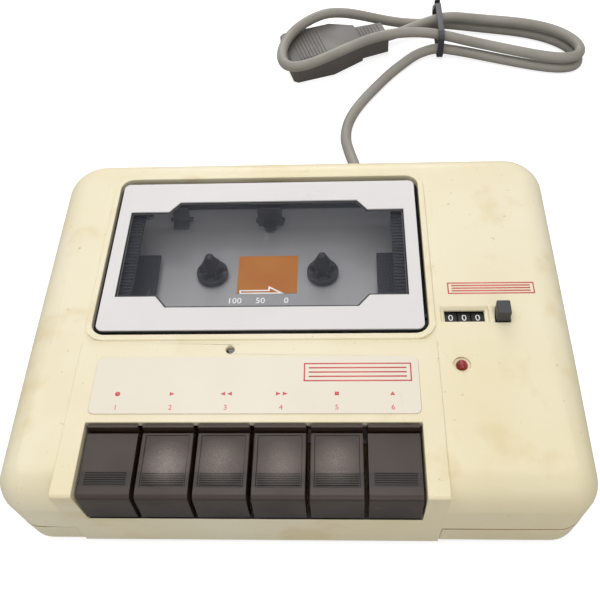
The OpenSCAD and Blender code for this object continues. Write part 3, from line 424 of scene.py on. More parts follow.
# %% [markdown]
# A real cord never has a corner, so the stretch from the case to the hank is one smooth
# curve through points on the table, and the last bend into the plug is a cubic with both
# its ends held in the right direction. The three stretches make one path, and the path's
# own length is the cord's length.

# %% Path of the cord
CORD_EXIT = np.array([23.5, 88.0, 10.8])
LEAD_ROUTE = np.array([
    [23.5, 100, 9], [22.5, 107, 6], [21.5, 114, 3.8], [19.5, 123, 2.8], [18, 132, 2.8], [19, 142, 2.8],
    [22.5, 152, 2.8], [28, 162, 2.8], [34, 171, 2.8], [40.5, 180, 2.9], [47.5, 188, 3.2],
    [55.5, 195.4, 3.8], [63.5, 199.2, 4.3]])
PLUG_IN, PLUG_TURN, TAIL_PULL = np.array([39.5, 209.0, 6.0]), np.radians(18), 14


def spline(points, per_span):
    """A curve through points: on each span a cubic whose end slopes are half the step between neighbours."""
    p = np.vstack([2 * points[0] - points[1], points, 2 * points[-1] - points[-2]])
    u = np.linspace(0, 1, per_span, endpoint=False)[None, :, None]
    a, b, c, d = (p[i : len(p) - 3 + i, None, :] for i in range(4))
    bend = (2 * a - 5 * b + 4 * c - d) * u**2 + (3 * b - a - 3 * c + d) * u**3
    curve = 0.5 * (2 * b + (c - a) * u + bend)
    return np.vstack([curve.reshape(-1, 3), points[-1:]])


hank_in = np.array([hank(HANK_START) - CORD_D * heading(HANK_START), hank(HANK_START)])
lead = spline(np.vstack([CORD_EXIT, CORD_EXIT + [0, CORD_D, 0], LEAD_ROUTE, hank_in]), 6)
u = np.linspace(0, 1, 26)[1:, None]
plug_way = np.array([np.cos(PLUG_TURN), np.sin(PLUG_TURN), 0])
tail_from = hank(HANK_END)
pull_in = tail_from + TAIL_PULL * heading(HANK_END)
pull_out = PLUG_IN + TAIL_PULL * plug_way
tail = (1 - u) ** 3 * tail_from + 3 * u * (1 - u) ** 2 * pull_in
tail = tail + 3 * u**2 * (1 - u) * pull_out + u**3 * PLUG_IN
cord_path = np.vstack([lead, turns, tail])

# %% [markdown]
# The cord itself is a grey rubbery sheath of one thickness. A curve with a bevel would
# also give a tube, but rings of points keep the path and the surface in one place. Each
# ring stands square to the path, and both ends are closed.

# %% Cord
CORD_SIDES = 18


def tube(path, radius, sides):
    """A round tube: at each path point a circle square to the path, from its level and upward sides."""
    along = np.gradient(path, axis=0)
    along /= np.linalg.norm(along, axis=1, keepdims=True)
    across = np.cross(along, [0, 0, 1])
    across /= np.linalg.norm(across, axis=1, keepdims=True)
    above = np.cross(across, along)
    turn = np.linspace(0, 2 * np.pi, sides, endpoint=False)[None, :, None]
    circle = np.cos(turn) * across[:, None] + np.sin(turn) * above[:, None]
    last = (len(path) - 1) * sides
    ends = [list(range(sides))[::-1], list(range(last, last + sides))]
    return (path[:, None, :] + radius * circle).reshape(-1, 3), grid_faces(len(path), sides) + ends


cord_sheath = moulded("grey_cord_sheath", (151, 146, 137), (138, 133, 124), (162, 157, 147), 0.5,
                      (1500, 0.25), patch=50, scuffs=0.72, gloss=0.4)
cord = piece("cord", *tube(cord_path, CORD_D / 2, CORD_SIDES), "case", "cord_sheath", cord_sheath)
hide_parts("cord_lead", "cord_hank")
print("cord rings:", len(cord_path))

# %% [markdown]
# A bush with ribs keeps the cord from kinking where it leaves the case. It is a turned
# piece: a profile of lengths and radii, swept round the cord's own line. Six ribs grow
# thinner towards the end, so that the bush bends more and more freely.

# %% Strain relief
BUSH_ROOT = [(69.5, 5.2), (71.5, 5.2), (71.5, 4.95), (74.0, 4.95), (74.0, 5.8), (76.0, 5.8)]
BUSH_RIB = np.array([(0.0, -0.7), (0.7, -0.75), (0.75, 0.1), (1.85, -0.08)])
BUSH_TIP = [(87.9, 3.1), (88.0, 2.9)]
RIBS, FIRST_RIB, RIB_PITCH = 6, 76.1, 1.95
RIB_R, RIB_TAPER = 5.2, 0.32
BUSH_SIDES = 40


def turned_along_y(profile, centre, sides):
    """A turned piece about a line along Y: each (y, radius) of the profile carries a circle."""
    y, r = profile[:, :1], profile[:, 1:]
    turn = np.linspace(0, 2 * np.pi, sides, endpoint=False)
    ring = np.stack([r * np.cos(turn), np.broadcast_to(y, (len(y), sides)), r * np.sin(turn)], axis=-1)
    last = (len(y) - 1) * sides
    ends = [list(range(sides)), list(range(last, last + sides))[::-1]]
    return (ring + centre).reshape(-1, 3), [face[::-1] for face in grid_faces(len(y), sides)] + ends


rib = np.arange(RIBS)
rib_starts = np.stack([FIRST_RIB + RIB_PITCH * rib, RIB_R - RIB_TAPER * rib], axis=1)
bush_profile = np.vstack([BUSH_ROOT, (rib_starts[:, None] + BUSH_RIB).reshape(-1, 2), BUSH_TIP])
bush_shape = turned_along_y(bush_profile, CORD_EXIT * [1, 0, 1], BUSH_SIDES)
bush = piece("strain_relief_bush", *bush_shape, "case", "cord_sheath", cord_sheath)
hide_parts("strain_relief")
print("bush rings:", len(bush_profile))

# %% [markdown]
# The four middle keys are dished a little for the finger. Sculpting could do it, but here
# the widest level face of the key gets a flat border, is cut into a grid, and its points
# sink by a smooth product that is nought at the border and greatest in the middle.

# %% Finger dish
DISH_BORDER, DISH_CUTS = 0.3, 19


def widest_level_face(work, border):
    """The largest upward face gets a border and is cut into a grid; its middle and half sizes come back."""
    face = max((f for f in work.faces if f.normal.z > 0.99), key=lambda f: f.calc_area())
    bmesh.ops.inset_region(work, faces=[face], thickness=border * MM)
    corners = np.array([v.co for v in face.verts])
    bmesh.ops.subdivide_edges(work, edges=face.edges[:], cuts=DISH_CUTS, use_grid_fill=True)
    low, high = corners.min(axis=0), corners.max(axis=0)
    return (low + high) / 2, (high - low) / 2 + [0, 0, 0.1 * MM]


def sink(mesh, middle, half, depth):
    """Points inside the face go down by depth times (1 - u u)(1 - u u)(1 - v v)(1 - v v)."""
    points = np.empty(len(mesh.vertices) * 3)
    mesh.vertices.foreach_get("co", points)
    points = points.reshape(-1, 3)
    u = (points - middle) / half
    inside = (np.abs(u) < 1.0001).all(axis=1)
    points[:, 2] -= depth * MM * inside * ((1 - u[:, 0] ** 2) * (1 - u[:, 1] ** 2)) ** 2
    mesh.vertices.foreach_set("co", points.ravel())


print("dish grid:", DISH_CUTS + 1, "by", DISH_CUTS + 1)

# %% [markdown]
# The moulded pieces are the CAD solids with softened edges. A copy of each mesh is merged,
# its flat triangles are joined, and a Bevel rounds the edges that are sharp and have room
# for it, so that light catches them as on real mouldings. Weighted normals keep the large
# faces flat where they meet small ones.

# %% Rounded copy of a solid
SHARP, CREASE, FLAT = 30, 18, 0.4
BEVEL_SEGMENTS, ROOM = 2, 1.6


def joined_copy(node):
    """An editable copy of a CAD solid: doubles merged, flat neighbours joined into convex faces."""
    work = bmesh.new()
    work.from_mesh(nodes[node].data)
    bmesh.ops.remove_doubles(work, verts=work.verts, dist=2e-6)
    bmesh.ops.dissolve_limit(work, angle_limit=np.radians(FLAT), verts=work.verts, edges=work.edges)
    bmesh.ops.connect_verts_concave(work, faces=[f for f in work.faces if len(f.verts) > 4])
    return work


def mark_edges(work, radius):
    """Edges that are sharp and lie between wide faces get the bevel; other bent edges stay crisp."""
    weight = work.edges.layers.float.new("bevel_weight_edge")
    for edge in work.edges:
        bend = np.degrees(edge.calc_face_angle(0.0))
        wide = min((f.calc_area() for f in edge.link_faces), default=0) / max(edge.calc_length(), 1e-9)
        edge[weight] = float(bend > SHARP and wide > ROOM * radius * MM)
        edge.smooth = bool(bend < CREASE or edge[weight] > 0)


def rounded(node, material, radius, dish=0.0):
    """A copy of a CAD solid with its edges rounded by a radius and, if asked for, a finger dish."""
    mesh = nodes[node].data.copy()
    work = joined_copy(node)
    if dish:
        middle, half = widest_level_face(work, DISH_BORDER)
    mark_edges(work, radius)
    work.to_mesh(mesh)
    work.free()
    if dish:
        sink(mesh, middle, half, dish)
    mesh.polygons.foreach_set("use_smooth", np.ones(len(mesh.polygons), bool))
    mesh.materials.clear()
    mesh.materials.append(material)
    obj = bpy.data.objects.new(node + "_rounded", mesh)
    bpy.context.collection.objects.link(obj)
    edge = obj.modifiers.new("edge", "BEVEL")
    edge.width = radius * MM
    edge.segments = BEVEL_SEGMENTS
    edge.limit_method = "WEIGHT"
    edge.use_clamp_overlap = False
    flat = obj.modifiers.new("flat", "WEIGHTED_NORMAL")
    flat.keep_sharp = True
    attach(obj, body_of_node[node])
    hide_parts(node)
    return obj


rounded("top_shell", cream_shaded_shell, 0.35)
rounded("base_tray", cream_tray, 0.25)

# %% [markdown]
# The six keys stand in a row at one pitch. The outer two are plain. The middle four have
# the dish, and each has its own worn patch with a painted highlight, a little to one side or
# the other, because fingers don't land twice on one spot. The play key is worn most, and its
# painted highlight is the strongest.

# %% Keys
KEYS = ["record_key", "play_key", "rewind_key", "fast_forward_key", "stop_key", "eject_key"]
DECK_X, KEY_PITCH, KEY_TOP = -12.9, 17.8, 45
KEY_EDGE, KEY_DISH = 0.22, 0.7
RUB_HIGHLIGHT_Y, RUB_HIGHLIGHT_REACH = -60.6, (8.6, 8.4, 12)
PLAY_RUB_HIGHLIGHT, OTHER_RUB_HIGHLIGHT = 0.9, 0.62
key_mid = DECK_X + (np.arange(6) - 2.5) * KEY_PITCH
rounded("record_key", brown_abs, KEY_EDGE)
for i, key in list(enumerate(KEYS))[1:5]:
    aside = i % 2
    # Each middle key gets its worn patch, with a painted highlight, a little to one side.
    patch = (float(key_mid[i]) - 0.5 + 1.2 * aside, RUB_HIGHLIGHT_Y - 0.8 * aside, KEY_TOP)
    coat = rubbed("worn_highlit_" + key, patch, RUB_HIGHLIGHT_REACH, PLAY_RUB_HIGHLIGHT if key == "play_key" else OTHER_RUB_HIGHLIGHT)
    rounded(key, coat, KEY_EDGE, dish=KEY_DISH)
rounded("eject_key", brown_abs, KEY_EDGE)
print("keys:", len(KEYS), "at", KEY_PITCH, "mm")

# %% [markdown]
# The window is smoked clear plastic: it hides a little of what lies behind it and mirrors
# the room. Real glass in the shader would bend the light and need many samples, while a
# thin flat plate hardly bends it. So the finish is a dark tint that covers a sixth of the
# view on each face, with a gloss that varies slightly, as on plastic that has been wiped.

# %% Smoked window finish
COVER, WINDOW_ROUGH, WIPED = 0.17, 0.06, 0.04
smoked_clear, tree, shader = new_finish("smoked_window")
tint = paint(62, 64, 72)
hazy = [1.25 * v for v in tint[:3]] + [1.0]
tree.links.new(ramp(tree, noise(tree, 30, 6.0), [(0.3, tint), (0.8, hazy)]), shader.inputs["Base Color"])
wiped = [(0.4, grey(WINDOW_ROUGH)), (0.75, grey(WINDOW_ROUGH + WIPED))]
tree.links.new(ramp(tree, noise(tree, 90, 6.0, (1.0, 0.3, 1.0)), wiped), shader.inputs["Roughness"])
shader.inputs["Alpha"].default_value = COVER
print("each face of the window covers", COVER, "of the view")

# %% [markdown]
# The remaining mouldings get softened edges too. Films and labels are almost sharp, the
# button is well rounded. The cassette guides are navy rather than black, which shows only
# because they lie beside the black spindles.

# %% Lid, label, button, plug and deck mouldings
white_film = moulded("white_facing", (219, 216, 215), (212, 209, 207), (200, 196, 191), 0.34, (4200, 0.05),
                     scuffs=0.72)
label_film = moulded("label_film", (229, 221, 204), (222, 212, 193), (208, 194, 170), 0.42, (4200, 0.06))
charcoal_abs = moulded("charcoal_button", (44, 44, 47), (52, 52, 55), (110, 110, 112), 0.45, (2600, 0.14),
                       patch=90)
plug_plastic = moulded("grey_plug_moulding", (101, 96, 92), (92, 88, 85), (122, 117, 113), 0.5,
                       (1800, 0.25), patch=50)
navy_abs = moulded("navy_guide", (26, 26, 40), (34, 34, 50), (84, 84, 100), 0.55, (2600, 0.03), patch=60)
rounded("lid_panel", white_film, 0.12)
rounded("lid_window", smoked_clear, 0.2)
rounded("label_plate", label_film, 0.12)
rounded("reset_button", charcoal_abs, 0.45)
plug = rounded("plug", plug_plastic, 0.3)
tie = rounded("cable_tie", black_abs, 0.2)
for guide in ("cassette_guide_left", "cassette_guide_right"):
    rounded(guide, navy_abs, 0.15)
for spindle in ("supply_spindle", "takeup_spindle"):
    rounded(spindle, black_abs, 0.2)

# %% [markdown]

# %% [markdown]
# Inside the case are metals, rubber, nylon, a brown board and the painted deck. Their
# solids are plain enough to stay as they are, so only their finishes change. Metals use
# the same recipe with the metallic value up, which colours the reflections themselves.

# %% Finishes of the mechanism
bright_steel = moulded("plated_steel", (196, 197, 200), (176, 178, 182), (225, 226, 228), 0.28,
                       (2400, 0.08), patch=80, scuffs=0.64, metal=1.0)
dark_steel = moulded("blackened_steel", (52, 53, 56), (44, 45, 48), (84, 85, 88), 0.45, (2400, 0.1),
                     patch=90, scuffs=0.68, metal=0.6)
warm_brass = moulded("turned_brass", (205, 170, 96), (186, 146, 72), (226, 200, 140), 0.3, (2400, 0.08),
                     patch=80, scuffs=0.66, metal=1.0)
dark_bronze = moulded("oiled_bronze", (96, 78, 56), (80, 64, 46), (120, 100, 74), 0.5, (2400, 0.12),
                      patch=120, scuffs=0.68, metal=0.8)
grey_deck = moulded("grey_deck_paint", (200, 199, 201), (188, 188, 192), (214, 214, 216), 0.36,
                    (1800, 0.1), patch=30, scuffs=0.64, metal=0.3)
soft_rubber = moulded("black_rubber", (34, 34, 36), (44, 44, 46), (72, 72, 74), 0.7, (1800, 0.3),
                      patch=90, gloss=0.3)
white_nylon = moulded("white_nylon", (232, 230, 222), (222, 218, 206), (204, 200, 188), 0.45, (2600, 0.08),
                      patch=90, scuffs=0.72)
phenolic = moulded("phenolic_board", (168, 124, 60), (150, 106, 46), (190, 150, 90), 0.5, (1400, 0.2),
                   patch=60, scuffs=0.68)
orange_paper = moulded("orange_paper", (255, 162, 62), (246, 144, 48), (240, 172, 100), 0.7, (1600, 0.2),
                       patch=60, scuffs=0.66)
red_lens = moulded("red_lens", (150, 14, 16), (120, 8, 10), (190, 60, 60), 0.12, (5000, 0.02),
                   patch=200, scuffs=0.80)
smoke_abs = moulded("smoke_lever", (92, 92, 96), (84, 84, 88), (112, 112, 116), 0.5, (2600, 0.12),
                    patch=60)
jet_black = moulded("jet_black_wheel", (20, 20, 22), (26, 26, 28), (48, 48, 50), 0.5, (3000, 0.1),
                    patch=120, scuffs=0.72, gloss=0.3)
print("finishes:", len(bpy.data.materials))

# %% [markdown]
# Each solid that stays takes the finish of its slot in the record. A few differ from
# their slot: the counter's wheels are a deeper black than the other mouldings, the lid's
# rod and spring are blackened, and the capstan's bearing is oiled bronze.

# %% Finishes on the solids that stay
finish_of_slot = {
    "steel": bright_steel, "brass": warm_brass, "deck_grey": grey_deck, "rubber": soft_rubber,
    "white_nylon": white_nylon, "board": phenolic, "orange_paper": orange_paper, "red_lens": red_lens,
    "black_plastic": black_abs,
}
own_finish = {
    "counter_wheel_units": jet_black, "counter_wheel_tens": jet_black, "counter_wheel_hundreds": jet_black,
    "counter_bracket": jet_black, "lid_spring": dark_steel, "lid_hinge_rod": dark_steel,
    "capstan_bearing": dark_bronze, "record_safety_lever": smoke_abs,
}
replaced = {"cord_lead", "cord_hank", "strain_relief"}
kept = [n for n in nodes if n + "_rounded" not in bpy.data.objects and n not in replaced]
for name in kept:
    solid = nodes[name]
    coat = own_finish.get(name, finish_of_slot[slot_of_node[name]])
    if not solid.material_slots:
        solid.data.materials.append(coat)
    for place in solid.material_slots:
        place.material = coat
print("solids kept as they are:", len(kept))

# %% [markdown]
# Printed signs are thin slabs of ink, so that they are real geometry and not a picture. A
# slab is an outline with a top, an underside and a strip of quads between. A frame or a
# line is a band between two outlines. Several slabs are gathered into one piece.

# %% Slabs of ink
INK = 0.04


def slab(outline, low, high):
    """A flat plate from an outline of points: its top, its underside and the strip of quads between."""
    n = len(outline)
    flat = np.asarray(outline, float)
    points = np.vstack([np.column_stack([flat, np.full(n, z)]) for z in (low, high)])
    i = np.arange(n)
    sides = np.stack([i, (i + 1) % n, (i + 1) % n + n, i + n], axis=1).tolist()
    return points, sides + [list(range(n))[::-1], list(range(n, 2 * n))]


def ring_slab(outer, inner, low, high):
    """A flat band between two outlines with equally many points: outside, inside, top and underside."""
    n = len(outer)
    a = np.arange(n)
    b = (a + 1) % n
    edges = [(flat, z) for flat in (outer, inner) for z in (low, high)]
    points = np.vstack([np.column_stack([flat, np.full(n, z)]) for flat, z in edges])
    outside = (a, b, b + n, a + n)
    inside = (b + 2 * n, a + 2 * n, a + 3 * n, b + 3 * n)
    top = (a + n, b + n, b + 3 * n, a + 3 * n)
    underside = (b, a, a + 2 * n, b + 2 * n)
    return points, np.vstack([np.stack(q, axis=1) for q in (outside, inside, top, underside)]).tolist()


def gather(parts):
    """Several (points, faces) joined into one set."""
    points, faces, first = [], [], 0
    for p, f in parts:
        points.append(p)
        faces += [[v + first for v in face] for face in f]
        first += len(p)
    return np.vstack(points), faces


def bar(x0, y0, x1, y1):
    """The outline of an upright rectangle."""
    return np.array([[x0, y0], [x1, y0], [x1, y1], [x0, y1]])


def striped_box(x0, y0, x1, y1, margin, stripes, height):
    """A printed frame of four bars with a stripe at each given y inside it, as slabs on a height."""
    w = 0.45
    bars = [bar(x0, y0, x1, y0 + w), bar(x0, y1 - w, x1, y1)]
    bars += [bar(x0, y0 + w, x0 + w, y1 - w), bar(x1 - w, y0 + w, x1, y1 - w)]
    bars += [bar(x0 + margin, y, x1 - margin, y + 0.5) for y in stripes]
    return [slab(b, height, height + INK) for b in bars]


print("faces of one bar of ink:", len(slab(bar(0, 0, 1, 1), 0, INK)[1]))

# %% [markdown]
# Figures come from the letter shapes that Blender has built in, so no font file is needed.
# A text object is made for a moment, turned into points and faces, and removed, and the
# figures are then placed and bent like any other slab.

# %% Figures
def figures(text, size, thick):
    """Figures as points and faces in millimetres, centred at the origin, from built-in letter shapes."""
    curve = bpy.data.curves.new("figures", "FONT")
    curve.body = text
    curve.size = size
    curve.extrude = thick / 2
    curve.align_x = "CENTER"
    curve.align_y = "CENTER"
    curve.resolution_u = 3
    holder = bpy.data.objects.new("figures", curve)
    bpy.context.collection.objects.link(holder)
    mesh = bpy.data.meshes.new_from_object(holder.evaluated_get(bpy.context.evaluated_depsgraph_get()))
    points = np.empty(len(mesh.vertices) * 3)
    mesh.vertices.foreach_get("co", points)
    faces = [list(p.vertices) for p in mesh.polygons]
    bpy.data.objects.remove(holder)
    bpy.data.meshes.remove(mesh)
    return points.reshape(-1, 3), faces


print("points in a nought:", len(figures("0", 1, INK)[0]))

# %% [markdown]
# Above the keys stand the usual tape signs in red: a dot, arrows, a square and a raised
# triangle, with plain numbers under them. Each sign is an outline of a few points. They
# are gathered with the striped box into one piece, since one pass of ink printed them all.

# %% Print on the label
SIGN_Y, NUMBER_Y, NUMBER_SIZE = -38.2, -43.3, 2.6
label_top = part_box("label_plate")[1][2] / MM
turn = np.linspace(0, 2 * np.pi, 24, endpoint=False)
dot = 0.85 * np.stack([np.cos(turn), np.sin(turn)], axis=1)
play = np.array([[-0.65, -0.7], [0.85, 0.0], [-0.65, 0.7]])
square = bar(-0.65, -0.65, 0.65, 0.65)
raised = np.array([[-0.8, -0.6], [0.8, -0.6], [0.0, 0.7]])
apart = np.array([1.1, 0])
signs = [[dot], [play], [-play - apart, -play + apart], [play - apart, play + apart], [square], [raised]]
placed = [shape + [x, SIGN_Y] for x, row in zip(key_mid, signs) for shape in row]
parts = [slab(outline, label_top, label_top + INK) for outline in placed]
for i, x in enumerate(key_mid):
    points, faces = figures(str(i + 1), NUMBER_SIZE, INK)
    parts.append((points + [x, NUMBER_Y, label_top + INK / 2], faces))
parts += striped_box(3.0, -33.6, 38.1, -26.6, 1.6, (-32.0, -30.35, -28.7), label_top)
red_ink = moulded("red_ink", (214, 84, 88), (206, 96, 98), (228, 140, 136), 0.5, (5000, 0.03),
                  patch=300, scuffs=0.72)
piece("label_print", *gather(parts), "case", "red_lens", red_ink)
print("signs and bars on the label:", len(parts))

# %% [markdown]
# Dirt gathers in the seam between the two halves of the case and shows as a thin brown
# line. It is a narrow band round the case, hardly proud of it, with quarter circles at the
# corners. A dark stripe in the finish would also do, but the band follows the corners.

# %% Seam between the two halves of the case
SEAM_Z, SEAM_H, PROUD, SEAM_IN = 17.0, 0.32, 0.045, 0.8
CASE_CORNERS = [((84.5, -60.92), 10, -0.5), ((79.5, 59.0), 15, 0.0), ((-79.5, 59.0), 15, 0.5),
                ((-84.5, -60.92), 10, 1.0)]
quarter = np.linspace(0, np.pi / 2, 10)


def round_outline(corners, grow):
    """A rounded rectangle grown by a distance: a quarter circle about each corner's centre."""
    arcs = []
    for centre, radius, start in corners:
        turn = quarter + start * np.pi
        arcs.append(np.array(centre) + (radius + grow) * np.stack([np.cos(turn), np.sin(turn)], axis=1))
    return np.vstack(arcs)


seam_dirt = moulded("seam_dirt", (128, 100, 56), (150, 122, 76), (96, 74, 42), 0.8, (1800, 0.2),
                    patch=60, scuffs=0.66, gloss=0.2)
seam_shape = ring_slab(round_outline(CASE_CORNERS, PROUD), round_outline(CASE_CORNERS, -SEAM_IN),
                       SEAM_Z - SEAM_H / 2, SEAM_Z + SEAM_H / 2)
piece("case_seam", *seam_shape, "case", "cream_case", seam_dirt)
print("seam points:", len(seam_shape[0]))

# %% [markdown]
# Beside the lid is a second printed box. It is the same frame with three stripes as on the
# label, at its own size, printed straight on the flat top of the case.

# %% Striped box beside the lid
CASE_TOP = 47.0
box_bars = striped_box(52.5, 2.0, 82.5, 7.0, 1.4, (3.1, 4.25, 5.4), CASE_TOP)
piece("case_print", *gather(box_bars), "case", "red_lens", red_ink)
print("bars in the box:", len(box_bars))

# %% [markdown]
# The window has a white arrow with a plain scale under it, which shows how much tape is
# left. The arrow is a band between two outlines, so its middle stays clear. It is printed
# on the outside of the window and moves with the lid.

# %% Arrow and scale on the window
SCALE = (("100", -22.0), ("50", -12.9), ("0", -3.8))
SCALE_Y, SCALE_SIZE = -0.6, 3.4
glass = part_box("lid_window")[1][2] / MM
arrow = np.array([[-20.5, 2.5], [-4.5, 2.5], [-10.3, 5.9], [-10.3, 4.2], [-20.5, 4.2]])
hollow = np.array([[-20.0, 3.0], [-6.5, 3.0], [-9.8, 4.95], [-9.8, 3.7], [-20.0, 3.7]])
parts = [ring_slab(arrow, hollow, glass, glass + INK)]
for text, x in SCALE:
    points, faces = figures(text, SCALE_SIZE, INK)
    parts.append((points + [x, SCALE_Y, glass + INK / 2], faces))
white_ink = moulded("white_ink", (240, 240, 240), (226, 226, 226), (205, 205, 205), 0.5, (5000, 0.03),
                    patch=300, scuffs=0.76)
piece("window_scale", *gather(parts), "lid", "white_panel", white_ink)
print("marks on the window:", len(parts))

# %% [markdown]
# Seen edge on, smoked plastic is nearly black, since the light goes a long way through it.
# A clear finish that covers a fixed share can't show that. So a thin black ring stands in
# the edge of the lid's plate; seen from above through the smoke, it is also painted shade
# for the gap and the shaded well under the lid's border. A black line is printed round the
# opening in the facing.

# %% Dark edge of the smoked lid, partly painted shade
LID_R, EDGE_IN = 2.5, 0.7
(lid_x0, lid_y0, lid_z0), (lid_x1, lid_y1, lid_z1) = np.array(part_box("lid_window")) / MM
lid_corners = [
    ((lid_x1 - LID_R, lid_y0 + LID_R), LID_R, -0.5), ((lid_x1 - LID_R, lid_y1 - LID_R), LID_R, 0.0),
    ((lid_x0 + LID_R, lid_y1 - LID_R), LID_R, 0.5), ((lid_x0 + LID_R, lid_y0 + LID_R), LID_R, 1.0),
]
black_ink = moulded("black_ink", (26, 27, 30), (32, 33, 36), (52, 53, 56), 0.4, (5000, 0.03),
                    patch=200, scuffs=0.74)
edge_and_shade_shape = ring_slab(round_outline(lid_corners, INK), round_outline(lid_corners, -EDGE_IN),
                      lid_z0, lid_z1 - INK)
# Partly painted shade: the black ring darkens the rim of the lid, seen through the smoke.
piece("lid_edge_and_shade", *edge_and_shade_shape, "lid", "black_plastic", black_ink)
print("lid edge, mm:", np.ptp(edge_and_shade_shape[0], axis=0).round(1).tolist())

# %% [markdown]
# The opening in the white facing is a wide rectangle with a step on each long side. Its
# outline is half written out and half mirrored. The line lies just inside it: each corner
# is moved along the sum of its two edges' normals, which keeps the line equally wide.

# %% Black line round the window
HALF_W, HALF_D, STEP, SLANT, WINDOW_Y = 51.9, 20.45, 4.9, 4.0, 21.75
STEP_LEFT, STEP_RIGHT = -37.4, 38.4
LINE_FROM, LINE_TO = 0.06, 0.85


def inset(outline, width):
    """An outline moved inwards: each corner goes along the sum of its two edges' inward normals."""
    edge = np.roll(outline, -1, axis=0) - outline
    edge = edge / np.linalg.norm(edge, axis=1, keepdims=True)
    after = np.stack([-edge[:, 1], edge[:, 0]], axis=1)
    before = np.roll(after, 1, axis=0)
    return outline + width * (before + after) / (1 + (before * after).sum(axis=1, keepdims=True))


lower = np.array([
    [-HALF_W, -HALF_D], [STEP_LEFT, -HALF_D], [STEP_LEFT + SLANT, -HALF_D - STEP],
    [STEP_RIGHT - SLANT, -HALF_D - STEP], [STEP_RIGHT, -HALF_D], [HALF_W, -HALF_D]])
cut = np.vstack([lower, lower[::-1] * [1, -1]]) + [DECK_X, WINDOW_Y]
line_shape = ring_slab(inset(cut, LINE_FROM), inset(cut, LINE_TO), glass, glass + INK)
piece("window_line", *line_shape, "lid", "black_plastic", black_ink)
print("corners of the window line:", len(cut))

# %% [markdown]
# The counter has three wheels with white figures, nought to nine, round their rims. Flat
# figures are bent: the height of a point becomes an angle round the axle. Every figure is
# there, not only the three that show, so the counter can be turned to any number.

# %% Figures on the counter wheels
WHEEL_R, WHEEL_Y, WHEEL_Z = 7.0, -6.8, 37.8
WHEELS = (("units_wheel", 62.1), ("tens_wheel", 57.5), ("hundreds_wheel", 52.9))
FIGURE_SIZE = 3.6


def round_the_wheel(points, x, turn):
    """Flat figures bent round a wheel: a point's height becomes an angle, its thickness a distance."""
    angle = points[:, 1] / WHEEL_R + turn
    reach = WHEEL_R + INK / 2 + points[:, 2]
    y = WHEEL_Y + reach * np.sin(angle)
    z = WHEEL_Z + reach * np.cos(angle)
    return np.stack([points[:, 0] + x, y, z], axis=1)


for wheel, x in WHEELS:
    parts = []
    for digit in range(10):
        points, faces = figures(str(digit), FIGURE_SIZE, INK)
        bent = round_the_wheel(points, x, -2 * np.pi * digit / 10)
        parts.append((bent, [face[::-1] for face in faces]))
    piece(wheel + "_figures", *gather(parts), wheel, "white_panel", white_ink)
print("figures on the wheels:", 10 * len(WHEELS))

# %% [markdown]
# The floor is a plain pale sheet that keeps the shadow. In a photograph such a sheet is
# overexposed to white, so it glows a little for the camera alone, and the glow doesn't
# light the recorder from below.

# %% Floor
FLOOR_HALF, FLOOR_GLOW = 4, 0.75
floor = bpy.data.objects.new("floor", bpy.data.meshes.new("floor"))
floor_corners = np.column_stack([FLOOR_HALF * bar(-1, -1, 1, 1), np.zeros(4)])
floor.data.from_pydata(floor_corners.tolist(), [], [(0, 1, 2, 3)])
bpy.context.collection.objects.link(floor)
pale, tree, shader = new_finish("pale_floor")
shader.inputs["Base Color"].default_value = grey(0.5)
shader.inputs["Roughness"].default_value = 0.9
rays = tree.nodes.new("ShaderNodeLightPath")
glow = tree.nodes.new("ShaderNodeEmission")
seen_glow = compute(tree, "MULTIPLY", rays.outputs["Is Camera Ray"], FLOOR_GLOW)
tree.links.new(seen_glow, glow.inputs["Strength"])
both = tree.nodes.new("ShaderNodeAddShader")
tree.links.new(shader.outputs[0], both.inputs[0])
tree.links.new(glow.outputs[0], both.inputs[1])
tree.links.new(both.outputs[0], tree.nodes["Material Output"].inputs["Surface"])
floor.data.materials.append(pale)
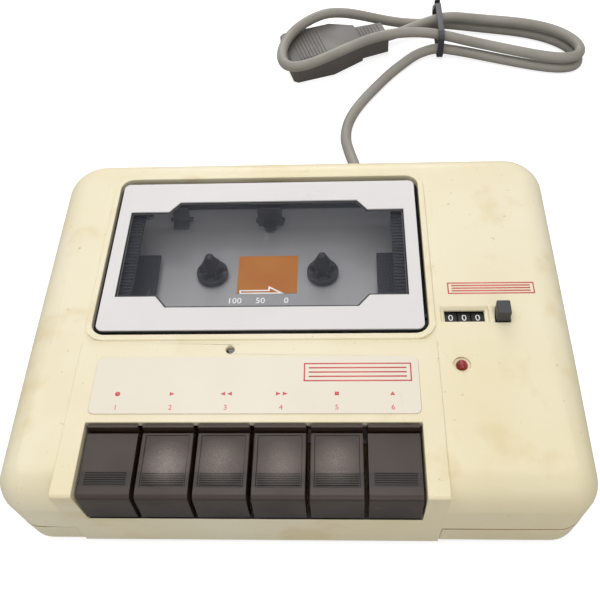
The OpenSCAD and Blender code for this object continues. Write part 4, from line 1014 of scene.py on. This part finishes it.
print("floor, m:", 2 * FLOOR_HALF)

# %% [markdown]
# Three soft lamps light the recorder. A large one overhead does most of the work, a low
# one behind lights the back of the keys and the rims, and a weaker one in front fills the
# fronts. The overhead lamp stays forward of where the flat window would mirror it.

# %% Lamps
def soft_lamp(name, place, aim, size, watts):
    """A square area lamp at a place, turned so that it faces the aim."""
    lamp = bpy.data.objects.new(name, bpy.data.lights.new(name, "AREA"))
    lamp.data.size = size
    lamp.data.energy = watts
    back = np.array(place, float) - np.array(aim, float)
    back /= np.linalg.norm(back)
    across = np.cross([0, 1, 0.01], back)
    across /= np.linalg.norm(across)
    turned = np.eye(4)
    turned[:3] = np.stack([across, np.cross(back, across), back, place], axis=1)
    lamp.matrix_world = Matrix(turned.tolist())
    bpy.context.collection.objects.link(lamp)


soft_lamp("key_lamp", (-0.08, 0.05, 0.95), (0, 0.03, 0), 0.9, 5.5)
soft_lamp("rear_lamp", (-0.05, 0.85, 0.42), (0, 0, 0.04), 0.4, 2.1)
soft_lamp("fill_lamp", (0.25, -1.0, 0.40), (0, 0, 0.02), 0.8, 2.9)
print("lamps:", len(bpy.data.lights))

# %% [markdown]
# The surround is white for the camera, for reflections and through the clear window, as a
# white studio is. For plain light it is dimmer, so that shadows keep their depth.

# %% Surround
DIM, BRIGHT = 0.40, 1.0
world = bpy.data.worlds.new("surround")
bpy.context.scene.world = world
world.use_nodes = True
tree = world.node_tree
ground = tree.nodes["Background"]
ground.inputs["Color"].default_value = grey(1.0)
rays = tree.nodes.new("ShaderNodeLightPath")
seen = compute(tree, "MAXIMUM", rays.outputs["Is Camera Ray"], rays.outputs["Is Glossy Ray"])
seen = compute(tree, "MAXIMUM", seen, rays.outputs["Is Transmission Ray"])
strength = tree.nodes.new("ShaderNodeMapRange")
strength.inputs["To Min"].default_value = DIM
strength.inputs["To Max"].default_value = BRIGHT
tree.links.new(seen, strength.inputs["Value"])
tree.links.new(strength.outputs["Result"], ground.inputs["Strength"])
print("surround:", DIM, "to", BRIGHT)
